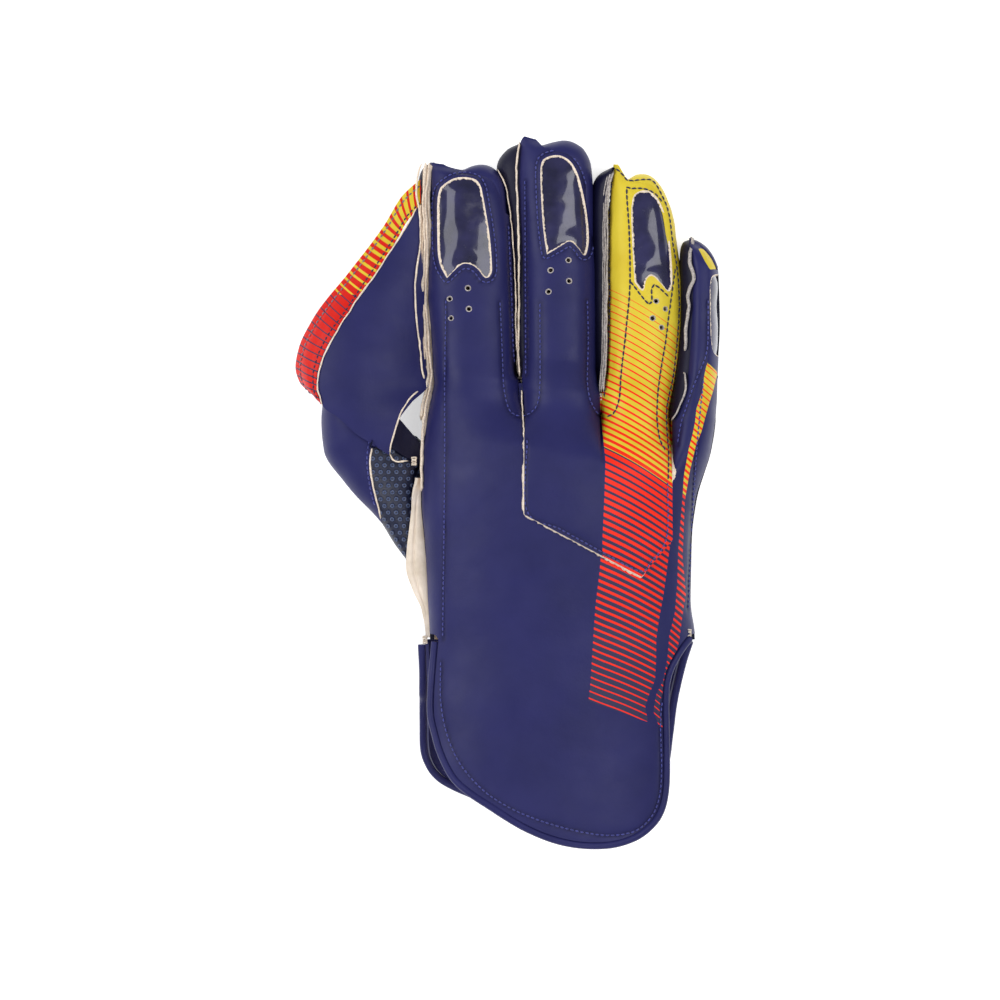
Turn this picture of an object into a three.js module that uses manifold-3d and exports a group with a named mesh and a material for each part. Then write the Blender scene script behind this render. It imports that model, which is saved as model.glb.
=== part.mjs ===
// Right-hand wicketkeeping glove, lying on its palm.
// X runs from the thumb to the little finger, Y from the cuff's rim to the fingertips, Z up from the table.
import * as THREE from 'three';
import Module from 'manifold-3d';

const wasm = await Module();
wasm.setup();

// Driving dimensions, in millimetres
const GLOVE_LENGTH = 322;
const BODY_WIDTH = 135;
const HAND_DEPTH = 52;
const LEATHER = 2;
const RUBBER = 2;
const FILM = 0.8;
const LINING = 1.5;
const GAP = 0.3;
const THUMB_GAP = 0.5;
const PIPING_RADIUS = 2.2;
const VENT_RADIUS = 1.1;
const WELT_HEIGHT = 7;
const THIN_WELT_HEIGHT = 5;
const THICK_WELT = 3.8;
const THIN_WELT = 1.2;

// Corners of the outlines are shares: across of BODY_WIDTH from the index finger's seam,
// along of GLOVE_LENGTH from the cuff's rim, heights of HAND_DEPTH from the table.
const WRIST = 0.293;
const KNUCKLE_BLEND = 0.09;
const BOW = 0.84;
const BOW_POWER = 2.2;
const TIP_RISE = 1.5;
const BACK_ROUNDNESS = 0.78;
const PALM_ROUNDNESS = 0.62;
const FLATTENING = 1.2;
const PALM_FLATTENING = 1.06;
const ARCH_POWER = 2.2;
const PALM_ARCH_POWER = 3.4;
const INSET_REACH = 0.12;

// Height shares of a finger from its knuckle, at reach 0, to its tip, at reach 1
const FINGER_PROFILE = [
  { reach: 0.0, seam: 0.34, crown: 0.74, floor: 0.04 },
  { reach: 0.15, seam: 0.33, crown: 0.69, floor: 0.03 },
  { reach: 0.4, seam: 0.3, crown: 0.63, floor: 0.0 },
  { reach: 0.7, seam: 0.29, crown: 0.59, floor: 0.0 },
  { reach: 0.88, seam: 0.29, crown: 0.56, floor: 0.0 },
  { reach: 0.96, seam: 0.3, crown: 0.5, floor: 0.02 },
  { reach: 1.0, seam: 0.31, crown: 0.4, floor: 0.08 },
];

// Height shares of the hand and the cuff: sides, crown and floor, and how far the palm side stands out
const HAND_PROFILE = [
  {
    along: 0.0, left: 0.56, right: 0.5, palmLeft: 0.26, palmRight: 0.26,
    crown: 1.0, floor: 0.06, outLeft: 0.03, outRight: 0.02,
  },
  {
    along: 0.1, left: 0.54, right: 0.48, palmLeft: 0.32, palmRight: 0.3,
    crown: 0.98, floor: 0.02, outLeft: 0.03, outRight: 0.02,
  },
  {
    along: 0.2, left: 0.52, right: 0.46, palmLeft: 0.4, palmRight: 0.34,
    crown: 0.97, floor: 0.0, outLeft: 0.035, outRight: 0.02,
  },
  {
    along: 0.293, left: 0.5, right: 0.42, palmLeft: 0.5, palmRight: 0.42,
    crown: 0.97, floor: 0.0, outLeft: 0.045, outRight: 0.01,
  },
  {
    along: 0.34, left: 0.5, right: 0.4, palmLeft: 0.5, palmRight: 0.4,
    crown: 0.98, floor: 0.0, outLeft: 0, outRight: 0,
  },
  {
    along: 0.5, left: 0.49, right: 0.36, palmLeft: 0.49, palmRight: 0.36,
    crown: 0.99, floor: 0.05, outLeft: 0, outRight: 0,
  },
  {
    along: 0.6, left: 0.43, right: 0.33, palmLeft: 0.43, palmRight: 0.33,
    crown: 0.92, floor: 0.05, outLeft: 0, outRight: 0,
  },
  {
    along: 0.66, left: 0.34, right: 0.3, palmLeft: 0.34, palmRight: 0.3,
    crown: 0.82, floor: 0.04, outLeft: 0, outRight: 0,
  },
];

// Lines that part the four fingers' strips on the hand and the cuff, from the index side to the little side
const LINES = [
  { along: 0.0, line0: 0.0, line1: 0.307, line2: 0.573, line3: 0.72, line4: 0.86 },
  { along: 0.181, line0: 0.003, line1: 0.32, line2: 0.587, line3: 0.733, line4: 0.865 },
  { along: 0.293, line0: 0.033, line1: 0.333, line2: 0.6, line3: 0.8, line4: 0.917 },
  { along: 0.349, line0: 0.03, line1: 0.343, line2: 0.605, line3: 0.818, line4: 0.903 },
  { along: 0.432, line0: 0.014, line1: 0.347, line2: 0.607, line3: 0.837, line4: 0.907 },
  { along: 0.488, line0: 0.003, line1: 0.347, line2: 0.607, line3: 0.84, line4: 0.923 },
  { along: 0.558, line0: 0.008, line1: 0.347, line2: 0.605, line3: 0.838, line4: 0.973 },
  { along: 0.6, line0: 0.027, line1: 0.347, line2: 0.603, line3: 0.833, line4: 0.987 },
  { along: 0.628, line0: 0.043, line1: 0.343, line2: 0.603, line3: 0.84, line4: 0.99 },
  { along: 0.651, line0: 0.053, line1: 0.34, line2: 0.603, line3: 0.85, line4: 0.992 },
];

// The four fingers from knuckle to tip. knuckle holds where the slits on their left and right end,
// backTip where the back's top edge runs from left to right, palmTip where the palm side's round tip ends.
const STRIPS = [
  {
    name: 'index',
    knuckle: [0.651, 0.651],
    backTip: [0.961, 0.957, 0.949, 0.931],
    palmTip: 0.958,
    roll: 0,
    overlay: false,
    rows: [
      { along: 0.651, left: 0.053, right: 0.34 },
      { along: 0.668, left: 0.052, right: 0.322 },
      { along: 0.711, left: 0.047, right: 0.32 },
      { along: 0.781, left: 0.037, right: 0.317 },
      { along: 0.844, left: 0.043, right: 0.31 },
      { along: 0.907, left: 0.05, right: 0.293 },
      { along: 0.961, left: 0.043, right: 0.257 },
    ],
  },
  {
    name: 'middle',
    knuckle: [0.651, 0.628],
    backTip: [0.998, 0.99, 0.984, 0.966],
    palmTip: 0.992,
    roll: 0,
    overlay: true,
    rows: [
      { along: 0.628, left: 0.343, right: 0.603 },
      { along: 0.651, left: 0.34, right: 0.588 },
      { along: 0.668, left: 0.339, right: 0.587 },
      { along: 0.767, left: 0.339, right: 0.587 },
      { along: 0.851, left: 0.333, right: 0.583 },
      { along: 0.934, left: 0.32, right: 0.573 },
      { along: 1.0, left: 0.33, right: 0.56 },
    ],
  },
  {
    name: 'ring',
    knuckle: [0.628, 0.6],
    backTip: [0.958, 0.945, 0.938, 0.9],
    palmTip: 0.945,
    roll: 0.02,
    overlay: true,
    rows: [
      { along: 0.6, left: 0.603, right: 0.833 },
      { along: 0.618, left: 0.603, right: 0.838 },
      { along: 0.628, left: 0.603, right: 0.843 },
      { along: 0.662, left: 0.604, right: 0.858 },
      { along: 0.697, left: 0.607, right: 0.871 },
      { along: 0.767, left: 0.61, right: 0.879 },
      { along: 0.851, left: 0.612, right: 0.857 },
      { along: 0.921, left: 0.62, right: 0.827 },
      { along: 0.96, left: 0.627, right: 0.783 },
    ],
  },
  {
    name: 'little',
    knuckle: [0.6, 0.6],
    backTip: [0.855, 0.85, 0.842, 0.815],
    palmTip: 0.847,
    roll: 0.07,
    overlay: false,
    rows: [
      { along: 0.6, left: 0.833, right: 0.987 },
      { along: 0.618, left: 0.853, right: 0.99 },
      { along: 0.662, left: 0.885, right: 0.993 },
      { along: 0.739, left: 0.897, right: 1.002 },
      { along: 0.809, left: 0.9, right: 0.997 },
      { along: 0.855, left: 0.897, right: 0.95 },
    ],
  },
];

// Thumb stall from the palm to the tip: centre, heading in degrees, half width, lowest and highest point
const THUMB = [
  { across: 0.045, along: 0.473, heading: 180, half: 0.2, low: 0.06, high: 0.36 },
  { across: -0.013, along: 0.478, heading: 178, half: 0.2, low: 0.05, high: 0.38 },
  { across: -0.063, along: 0.513, heading: 152, half: 0.15, low: 0.03, high: 0.47 },
  { across: -0.153, along: 0.551, heading: 131, half: 0.136, low: 0.02, high: 0.57 },
  { across: -0.21, along: 0.583, heading: 118, half: 0.128, low: 0.02, high: 0.61 },
  { across: -0.213, along: 0.616, heading: 100, half: 0.12, low: 0.02, high: 0.62 },
  { across: -0.21, along: 0.642, heading: 95, half: 0.108, low: 0.05, high: 0.59 },
  { across: -0.207, along: 0.661, heading: 93, half: 0.078, low: 0.12, high: 0.53 },
  { across: -0.207, along: 0.671, heading: 92, half: 0.04, low: 0.22, high: 0.42 },
  { across: -0.207, along: 0.6735, heading: 92, half: 0, low: 0.32, high: 0.32 },
];

// Web between index finger and thumb, from its top corner to its lower tongue: right and left edge,
// and the heights of right edge, middle and left edge
const WEB = [
  { right: [0.014, 0.909], left: [-0.007, 0.898], heights: [0.34, 0.345, 0.35] },
  { right: [0.011, 0.872], left: [-0.057, 0.863], heights: [0.34, 0.36, 0.37] },
  { right: [0.004, 0.834], left: [-0.107, 0.83], heights: [0.35, 0.4, 0.42] },
  { right: [-0.012, 0.795], left: [-0.163, 0.794], heights: [0.37, 0.46, 0.48] },
  { right: [-0.013, 0.756], left: [-0.227, 0.756], heights: [0.37, 0.52, 0.54] },
  { right: [-0.003, 0.717], left: [-0.28, 0.72], heights: [0.38, 0.58, 0.58] },
  { right: [0.004, 0.681], left: [-0.32, 0.688], heights: [0.4, 0.625, 0.59] },
  { right: [0.008, 0.65], left: [-0.34, 0.65], heights: [0.43, 0.635, 0.59] },
  { right: [-0.03, 0.623], left: [-0.323, 0.619], heights: [0.5, 0.64, 0.6] },
  { right: [-0.07, 0.6], left: [-0.273, 0.603], heights: [0.56, 0.635, 0.62] },
  { right: [-0.093, 0.572], left: [-0.21, 0.579], heights: [0.58, 0.615, 0.61] },
  { right: [-0.103, 0.551], left: [-0.157, 0.565], heights: [0.57, 0.595, 0.6] },
];

// Striped binding along the web's outer edge: inner and outer edge with their heights
const BINDING = [
  { inner: [-0.007, 0.897], outer: [-0.013, 0.937], heights: [0.35, 0.32] },
  { inner: [-0.037, 0.879], outer: [-0.06, 0.914], heights: [0.36, 0.33] },
  { inner: [-0.07, 0.855], outer: [-0.12, 0.873], heights: [0.38, 0.34] },
  { inner: [-0.12, 0.821], outer: [-0.18, 0.838], heights: [0.44, 0.37] },
  { inner: [-0.183, 0.781], outer: [-0.247, 0.802], heights: [0.49, 0.39] },
  { inner: [-0.24, 0.743], outer: [-0.31, 0.77], heights: [0.55, 0.41] },
  { inner: [-0.29, 0.714], outer: [-0.363, 0.738], heights: [0.59, 0.41] },
  { inner: [-0.323, 0.686], outer: [-0.403, 0.704], heights: [0.59, 0.38] },
  { inner: [-0.34, 0.658], outer: [-0.417, 0.675], heights: [0.59, 0.34] },
  { inner: [-0.34, 0.639], outer: [-0.403, 0.653], heights: [0.59, 0.34] },
  { inner: [-0.33, 0.625], outer: [-0.373, 0.64], heights: [0.59, 0.4] },
  { inner: [-0.329, 0.62], outer: [-0.34, 0.627], heights: [0.58, 0.53] },
];

// Cream lining that stands out of the side seam: outermost point and its height at each place along
const SIDE_LINING = [
  { along: 0.519, out: 0.004, height: 0.5 },
  { along: 0.499, out: 0.016, height: 0.5 },
  { along: 0.467, out: 0.03, height: 0.48 },
  { along: 0.418, out: 0.055, height: 0.45 },
  { along: 0.391, out: 0.063, height: 0.43 },
  { along: 0.36, out: 0.045, height: 0.42 },
  { along: 0.335, out: 0.02, height: 0.44 },
  { along: 0.312, out: 0.008, height: 0.46 },
];

// Outer outlines of the cuff's two flaps, from the left notch round the rim to the right notch
const BACK_FLAP = [
  [0.038, 0.291], [0.027, 0.24], [0.023, 0.192], [0.037, 0.162],
  [0.06, 0.131], [0.1, 0.099], [0.153, 0.078],
  [0.233, 0.056], [0.333, 0.03], [0.433, 0.012], [0.533, 0.003],
  [0.633, 0.003], [0.717, 0.013], [0.777, 0.031],
  [0.813, 0.053], [0.83, 0.084], [0.833, 0.131], [0.83, 0.209],
  [0.84, 0.244], [0.873, 0.272], [0.907, 0.291],
];
const PALM_FLAP = [
  [-0.007, 0.286], [-0.003, 0.237], [-0.003, 0.179], [0.0, 0.137],
  [0.02, 0.112], [0.05, 0.096], [0.093, 0.084],
  [0.167, 0.07], [0.3, 0.049], [0.467, 0.033], [0.633, 0.033],
  [0.75, 0.053], [0.813, 0.084], [0.837, 0.126],
  [0.847, 0.16], [0.863, 0.209], [0.893, 0.262], [0.913, 0.288],
];

// The overlay's outline, up its right side beside the little finger and down its left side beside the index
// finger to the pointed tail on the hand
const OVERLAY = [
  [0.737, 0.381], [0.841, 0.433], [0.838, 0.57], [0.83, 0.602],
  [0.838, 0.622], [0.85, 0.645], [0.862, 0.672],
  [0.874, 0.705], [0.882, 0.76], [0.95, 0.87], [0.95, 1.1], [0.25, 1.1], [0.31, 0.93], [0.33, 0.85],
  [0.338, 0.77], [0.337, 0.67], [0.343, 0.645], [0.347, 0.61], [0.347, 0.468],
];

// Windows cut through the back over each fingertip, and the vent holes below them
const WINDOWS = {
  index: [
    [0.057, 0.921], [0.087, 0.932], [0.117, 0.939], [0.16, 0.94],
    [0.2, 0.934], [0.213, 0.907], [0.233, 0.858],
    [0.24, 0.82], [0.24, 0.803], [0.217, 0.796], [0.193, 0.812],
    [0.16, 0.819], [0.133, 0.817], [0.09, 0.798],
    [0.06, 0.82], [0.057, 0.865],
  ],
  middle: [
    [0.4, 0.96], [0.423, 0.968], [0.457, 0.971], [0.487, 0.967],
    [0.51, 0.958], [0.53, 0.941], [0.55, 0.907],
    [0.563, 0.868], [0.563, 0.844], [0.55, 0.826], [0.527, 0.841],
    [0.5, 0.851], [0.477, 0.845], [0.423, 0.831],
    [0.41, 0.865], [0.403, 0.914],
  ],
  ring: [
    [0.71, 0.909], [0.733, 0.916], [0.767, 0.914], [0.795, 0.901],
    [0.815, 0.872], [0.83, 0.83], [0.833, 0.789],
    [0.823, 0.78], [0.8, 0.792], [0.773, 0.801], [0.753, 0.795],
    [0.75, 0.78], [0.72, 0.794], [0.713, 0.851],
  ],
  little: [
    [0.965, 0.8], [0.983, 0.803], [0.99, 0.781], [0.99, 0.711],
    [0.98, 0.689], [0.96, 0.689], [0.955, 0.704],
    [0.96, 0.753],
  ],
};
const VENTS = {
  index: [[0.16, 0.784], [0.099, 0.769], [0.163, 0.755], [0.103, 0.742]],
  middle: [[0.495, 0.823], [0.435, 0.809], [0.497, 0.794], [0.428, 0.779]],
  ring: [[0.787, 0.766], [0.817, 0.755], [0.775, 0.742], [0.805, 0.729]],
};

// Places across each strip, as shares of its width, and rows along the hand, the cuff and a finger
const TURNS = [0, 0.1, 0.28, 0.5, 0.72, 0.9, 1];
const HAND_ROWS = 8;
const CUFF_ROWS = 7;
const WELT_ROWS = 13;
const REACHES = [0, 0.06, 0.2, 0.38, 0.56, 0.72, 0.84, 0.92, 0.97, 1];
const FACING_FIRST = 2;
const FACING_LAST = 3;
const FILM_ROWS = { first: 2, end: 8, littleEnd: 7 };
const FACING_ROWS = 7;
const SLIVER = 0.02;
const THUMB_SIDES = 16;

const NAVY = { color: 0x2b2b5c, roughness: 0.5, metalness: 0 };
const NAVY_GLOSS = { color: 0x2f2f5e, roughness: 0.1, metalness: 0 };
const YELLOW = { color: 0xf0dc3c, roughness: 0.5, metalness: 0 };
const RED = { color: 0xe8371f, roughness: 0.5, metalness: 0 };
const CREAM = { color: 0xe6d8c3, roughness: 0.9, metalness: 0 };
const RUBBER_NAVY = { color: 0x151c33, roughness: 0.7, metalness: 0 };

const lerp = THREE.MathUtils.lerp;
const clamp = THREE.MathUtils.clamp;
const smoothstep = THREE.MathUtils.smoothstep;
const across = (share) => share * BODY_WIDTH;
const along = (share) => share * GLOVE_LENGTH;
const high = (share) => share * HAND_DEPTH;

// Smooth reading of a table's column between its rows, with no overshoot
function read(table, key, column, at) {
  const last = table.length - 1;
  const rising = table[last][key] > table[0][key];
  const row = (i) => table[rising ? i : last - i];
  if (at <= row(0)[key]) return row(0)[column];
  if (at >= row(last)[key]) return row(last)[column];
  let i = 0;
  while (at > row(i + 1)[key]) i += 1;
  const step = (n) => row(n + 1)[key] - row(n)[key];
  const slope = (n) => (row(n + 1)[column] - row(n)[column]) / step(n);
  const tangent = (n) => {
    if (n === 0 || n === last) return 0;
    const before = slope(n - 1);
    const after = slope(n);
    return before * after <= 0 ? 0 : (2 * before * after) / (before + after);
  };
  const t = (at - row(i)[key]) / step(i);
  const rise = row(i + 1)[column] - row(i)[column];
  const from = tangent(i) * step(i);
  const to = tangent(i + 1) * step(i);
  return row(i)[column] + t * (from + t * (3 * rise - 2 * from - to + t * (from + to - 2 * rise)));
}

const signedPower = (value, power) => Math.sign(value) * Math.abs(value) ** power;
const handHeight = (column, y) => read(HAND_PROFILE, 'along', column, y);
const fingerHeight = (column, reach) => read(FINGER_PROFILE, 'reach', column, reach);
const knuckleAt = (strip, turn) => lerp(strip.knuckle[0], strip.knuckle[1], turn);

function backTipAt(strip, turn) {
  const place = turn * (strip.backTip.length - 1);
  const i = Math.min(Math.floor(place), strip.backTip.length - 2);
  return lerp(strip.backTip[i], strip.backTip[i + 1], place - i);
}

function edgesAt(strip, y) {
  return ['left', 'right'].map((side, i) => (y <= strip.knuckle[i]
    ? read(LINES, 'along', `line${STRIPS.indexOf(strip) + i}`, y)
    : read(strip.rows, 'along', side, y)));
}

// How much higher a finger's left seam is than its middle where the finger leans to the right
function rollAt(strip, turn, reach) {
  return strip.roll * (1 - 2 * turn) * Math.min(1, reach / INSET_REACH);
}

// Arch across the whole hand, from its left side over the crown to its right side
function handArch(x, y) {
  const left = edgesAt(STRIPS[0], y)[0];
  const right = edgesAt(STRIPS[3], y)[1];
  const t = clamp((x - left) / (right - left), 0, 1);
  const chord = lerp(handHeight('left', y), handHeight('right', y), t);
  const rise = (1 - Math.abs(2 * t - 1) ** ARCH_POWER) ** (1 / ARCH_POWER);
  return chord + (handHeight('crown', y) - chord) * rise;
}

// Trough across the whole palm; t is the place across as a share of its width
function palmArch(t, y) {
  const chord = lerp(handHeight('palmLeft', y), handHeight('palmRight', y), t);
  const drop = (1 - Math.abs(2 * t - 1) ** PALM_ARCH_POWER) ** (1 / PALM_ARCH_POWER);
  return chord - (chord - handHeight('floor', y)) * Math.min(1, drop * PALM_FLATTENING);
}

// Point of the back's outer surface, at a place across one strip and along the glove, both as shares
function backPoint(strip, turn, y) {
  const knuckle = knuckleAt(strip, turn);
  const reach = clamp((y - knuckle) / (backTipAt(strip, turn) - knuckle), 0, 1);
  const finger = smoothstep(y, knuckle - KNUCKLE_BLEND, knuckle);
  const inset = strip.overlay ? ((GAP + LEATHER) / BODY_WIDTH) * Math.min(1, reach / INSET_REACH) : 0;
  const [left, right] = edgesAt(strip, y);
  const angle = Math.PI * (1 - turn);
  const level = Math.cos(angle);
  const spread = lerp(level, signedPower(level, BACK_ROUNDNESS), finger);
  const x = (left + right) / 2 + ((right - left) / 2 - inset) * spread;
  const seam = fingerHeight('seam', reach) + rollAt(strip, turn, reach);
  const lowered = strip.overlay ? (inset * BODY_WIDTH) / HAND_DEPTH : 0;
  const arch = Math.abs(Math.sin(angle)) ** BACK_ROUNDNESS;
  const fingerZ = seam + (fingerHeight('crown', reach) - lowered - fingerHeight('seam', reach)) * arch;
  const z = lerp(handArch(x, y), fingerZ, finger);
  return new THREE.Vector3(across(x), along(y), high(z) + RUBBER + GAP + GAP / 2);
}

// Point of the palm side's outer surface, below the same strip; the cuff's flap flares out beyond the back
function palmPoint(strip, turn, y, flare = 0) {
  const knuckle = knuckleAt(strip, turn);
  const reach = clamp((y - knuckle) / (strip.palmTip - knuckle), 0, 1);
  const backReach = clamp((y - knuckle) / (backTipAt(strip, turn) - knuckle), 0, 1);
  const finger = smoothstep(y, knuckle - KNUCKLE_BLEND, knuckle);
  const bow = Math.max(0, (reach - BOW) / (1 - BOW));
  const narrowing = (1 - bow ** BOW_POWER) ** (1 / BOW_POWER);
  const [left, right] = edgesAt(strip, y);
  const angle = Math.PI * (1 - turn);
  const level = Math.cos(angle);
  const spread = lerp(level, signedPower(level, PALM_ROUNDNESS), finger) * narrowing;
  const x = (left + right) / 2 + ((right - left) / 2) * spread;
  const rim = fingerHeight('seam', backReach) + rollAt(strip, turn, backReach);
  const tuckedUnder = fingerHeight('crown', 1) - (LEATHER + 2 * GAP) / HAND_DEPTH;
  const seam = lerp(rim, tuckedUnder, (1 - narrowing) ** TIP_RISE);
  const drop = Math.min(1, Math.abs(Math.sin(angle)) ** PALM_ROUNDNESS * FLATTENING) * narrowing;
  const fingerZ = seam - (seam - fingerHeight('floor', reach)) * drop;
  const handLeft = edgesAt(STRIPS[0], y)[0];
  const handRight = edgesAt(STRIPS[3], y)[1];
  const t = clamp((x - handLeft) / (handRight - handLeft), 0, 1);
  const z = lerp(palmArch(t, y), fingerZ, finger);
  const out = flare * (t * handHeight('outRight', y) - (1 - t) * handHeight('outLeft', y));
  return new THREE.Vector3(across(x + out), along(y), high(z) + RUBBER + GAP - GAP / 2);
}

// Rows of points over one strip: the cuff, the hand up to the knuckle, or a finger
function stripGrid(point, strip, part) {
  const count = { cuff: CUFF_ROWS, hand: HAND_ROWS, finger: REACHES.length - 1 }[part];
  const grid = [];
  for (let i = 0; i <= count; i += 1) {
    grid.push(TURNS.map((turn) => {
      const knuckle = knuckleAt(strip, turn);
      const tip = point === backPoint ? backTipAt(strip, turn) : strip.palmTip;
      const y = {
        cuff: lerp(0, WRIST, i / CUFF_ROWS),
        hand: lerp(WRIST, knuckle, i / HAND_ROWS),
        finger: lerp(knuckle, tip, REACHES[i]),
      }[part];
      return point(strip, turn, y, part === 'cuff' ? 1 : 0);
    }));
  }
  return grid;
}

// Four-cornered cells of a grid whose rows run along and whose columns run across
function gridCells(grid, keep = () => true) {
  const cells = [];
  for (let i = 0; i + 1 < grid.length; i += 1) {
    for (let j = 0; j + 1 < grid[i].length; j += 1) {
      if (keep(i, j)) cells.push([grid[i][j], grid[i][j + 1], grid[i + 1][j + 1], grid[i + 1][j]]);
    }
  }
  return cells;
}

const pointKey = (p) => `${p.x.toFixed(3)} ${p.y.toFixed(3)} ${p.z.toFixed(3)}`;

// Averaged normals at the corners of the cells, by place
function cornerNormals(cells) {
  const normals = new Map();
  for (const cell of cells) {
    const a = new THREE.Vector3().subVectors(cell[2], cell[0]);
    const b = new THREE.Vector3().subVectors(cell[3], cell[1]);
    const face = a.cross(b).normalize();
    for (const corner of cell) {
      const key = pointKey(corner);
      if (!normals.has(key)) normals.set(key, new THREE.Vector3());
      normals.get(key).add(face);
    }
  }
  for (const normal of normals.values()) normal.normalize();
  return normals;
}

function toGeometry(positions, triangles) {
  const geometry = new THREE.BufferGeometry();
  const places = positions.flatMap((p) => [p.x, p.y, p.z]);
  geometry.setAttribute('position', new THREE.Float32BufferAttribute(places, 3));
  geometry.setIndex(triangles.flat());
  return geometry;
}

// Closed wall over the cells, between two distances from their surface
function wall(cells, from, to, normals = cornerNormals(cells)) {
  const index = new Map();
  const inner = [];
  const outer = [];
  const corner = (p) => {
    const key = pointKey(p);
    if (!index.has(key)) {
      index.set(key, outer.length);
      const normal = normals.get(key);
      outer.push(p.clone().addScaledVector(normal, to));
      inner.push(p.clone().addScaledVector(normal, from));
    }
    return index.get(key);
  };
  const faces = [];
  for (const cell of cells) {
    const [a, b, c, d] = cell.map(corner);
    faces.push(...[[a, b, c], [a, c, d]].filter(([p, q, r]) => p !== q && q !== r && r !== p));
  }
  const edges = new Map();
  for (const [a, b, c] of faces) {
    for (const [p, q] of [[a, b], [b, c], [c, a]]) {
      if (edges.has(`${q} ${p}`)) edges.delete(`${q} ${p}`);
      else edges.set(`${p} ${q}`, [p, q]);
    }
  }
  const n = outer.length;
  const triangles = [];
  for (const [a, b, c] of faces) triangles.push([a, b, c], [n + a, n + c, n + b]);
  for (const [a, b] of edges.values()) triangles.push([a, n + a, n + b], [a, n + b, b]);
  return toGeometry([...outer, ...inner], triangles);
}

// Closed solid through rings of points that turn the same way round
function loft(rings) {
  const size = rings[0].length;
  const centre = (ring) => ring.reduce((sum, p) => sum.add(p), new THREE.Vector3()).divideScalar(size);
  const points = [...rings.flat(), centre(rings[0]), centre(rings.at(-1))];
  const first = rings.length * size;
  const triangles = [];
  for (let i = 0; i + 1 < rings.length; i += 1) {
    for (let j = 0; j < size; j += 1) {
      const a = i * size + j;
      const b = i * size + ((j + 1) % size);
      triangles.push([a, b, b + size], [a, b + size, a + size]);
    }
  }
  const end = (rings.length - 1) * size;
  for (let j = 0; j < size; j += 1) {
    const next = (j + 1) % size;
    triangles.push([first, next, j], [first + 1, end + j, end + next]);
  }
  return toGeometry(points, triangles);
}

function toSolid(geometry) {
  const source = geometry.index ? geometry : weld(geometry);
  return new wasm.Manifold(new wasm.Mesh({
    numProp: 3,
    vertProperties: new Float32Array(source.attributes.position.array),
    triVerts: new Uint32Array(source.index.array),
  }));
}

// Geometry of a solid's main body
function fromSolid(solid) {
  const bodies = solid.simplify(SLIVER).decompose();
  const mesh = bodies.reduce((a, b) => (b.volume() > a.volume() ? b : a)).getMesh();
  const geometry = new THREE.BufferGeometry();
  geometry.setAttribute('position', new THREE.BufferAttribute(new Float32Array(mesh.vertProperties), 3));
  geometry.setIndex(new THREE.BufferAttribute(new Uint32Array(mesh.triVerts), 1));
  return geometry;
}

// Geometry with its shared vertices merged
function weld(geometry) {
  const source = geometry.index ? geometry.toNonIndexed() : geometry;
  const position = source.attributes.position;
  const index = new Map();
  const points = [];
  const corners = [];
  for (let i = 0; i < position.count; i += 1) {
    const point = new THREE.Vector3().fromBufferAttribute(position, i);
    const key = pointKey(point);
    if (!index.has(key)) {
      index.set(key, points.length);
      points.push(point);
    }
    corners.push(index.get(key));
  }
  const triangles = [];
  for (let i = 0; i < corners.length; i += 3) {
    const [a, b, c] = corners.slice(i, i + 3);
    if (a !== b && b !== c && c !== a) triangles.push([a, b, c]);
  }
  return toGeometry(points, triangles);
}

// Upright prism over a flat outline of millimetres, taller than the glove
function prism(outline) {
  const shape = new THREE.Shape(outline.map(([x, y]) => new THREE.Vector2(x, y)));
  const height = 4 * HAND_DEPTH;
  const geometry = new THREE.ExtrudeGeometry(shape, { depth: height, bevelEnabled: false });
  return toSolid(weld(geometry.translate(0, 0, -height / 2)));
}

const toMillimetres = (outline) => outline.map(([x, y]) => [across(x), along(y)]);

// Open outline as a smooth line of points, moved inwards, to its left side
function smoothOutline(outline, inwards, count) {
  const points = toMillimetres(outline).map(([x, y]) => new THREE.Vector3(x, y, 0));
  const curve = new THREE.CatmullRomCurve3(points, false, 'centripetal');
  return Array.from({ length: count + 1 }, (_, i) => {
    const point = curve.getPointAt(i / count);
    const heading = curve.getTangentAt(i / count);
    return [point.x - heading.y * inwards, point.y + heading.x * inwards];
  });
}

// Everything of the glove above a flap's rim, with room for its piping
function insideFlap(outline) {
  const rim = smoothOutline(outline, 2 * PIPING_RADIUS + GAP, 30);
  const [first, last] = [rim[0], rim.at(-1)].map(([x, y]) => [x, y + 2 * PIPING_RADIUS * 0.3]);
  const wide = BODY_WIDTH;
  const above = 2 * GLOVE_LENGTH;
  const right = [[2 * wide, last[1]], [2 * wide, above]];
  return prism([first, ...rim, last, ...right, [-wide, above], [-wide, first[1]]]);
}

// Round piping along a flap's rim, at the height of its leather
function piping(outline, heightAt) {
  const line = smoothOutline(outline, PIPING_RADIUS, 36);
  const path = new THREE.CatmullRomCurve3(line.map(([x, y]) => new THREE.Vector3(x, y, heightAt(x, y))));
  const section = new THREE.Shape();
  const sides = 6;
  for (let i = 0; i < sides; i += 1) {
    const angle = (2 * Math.PI * i) / sides;
    const place = [PIPING_RADIUS * Math.cos(angle), PIPING_RADIUS * Math.sin(angle)];
    if (i === 0) section.moveTo(...place);
    else section.lineTo(...place);
  }
  return weld(new THREE.ExtrudeGeometry(section, { steps: 38, bevelEnabled: false, extrudePath: path }));
}

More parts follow.
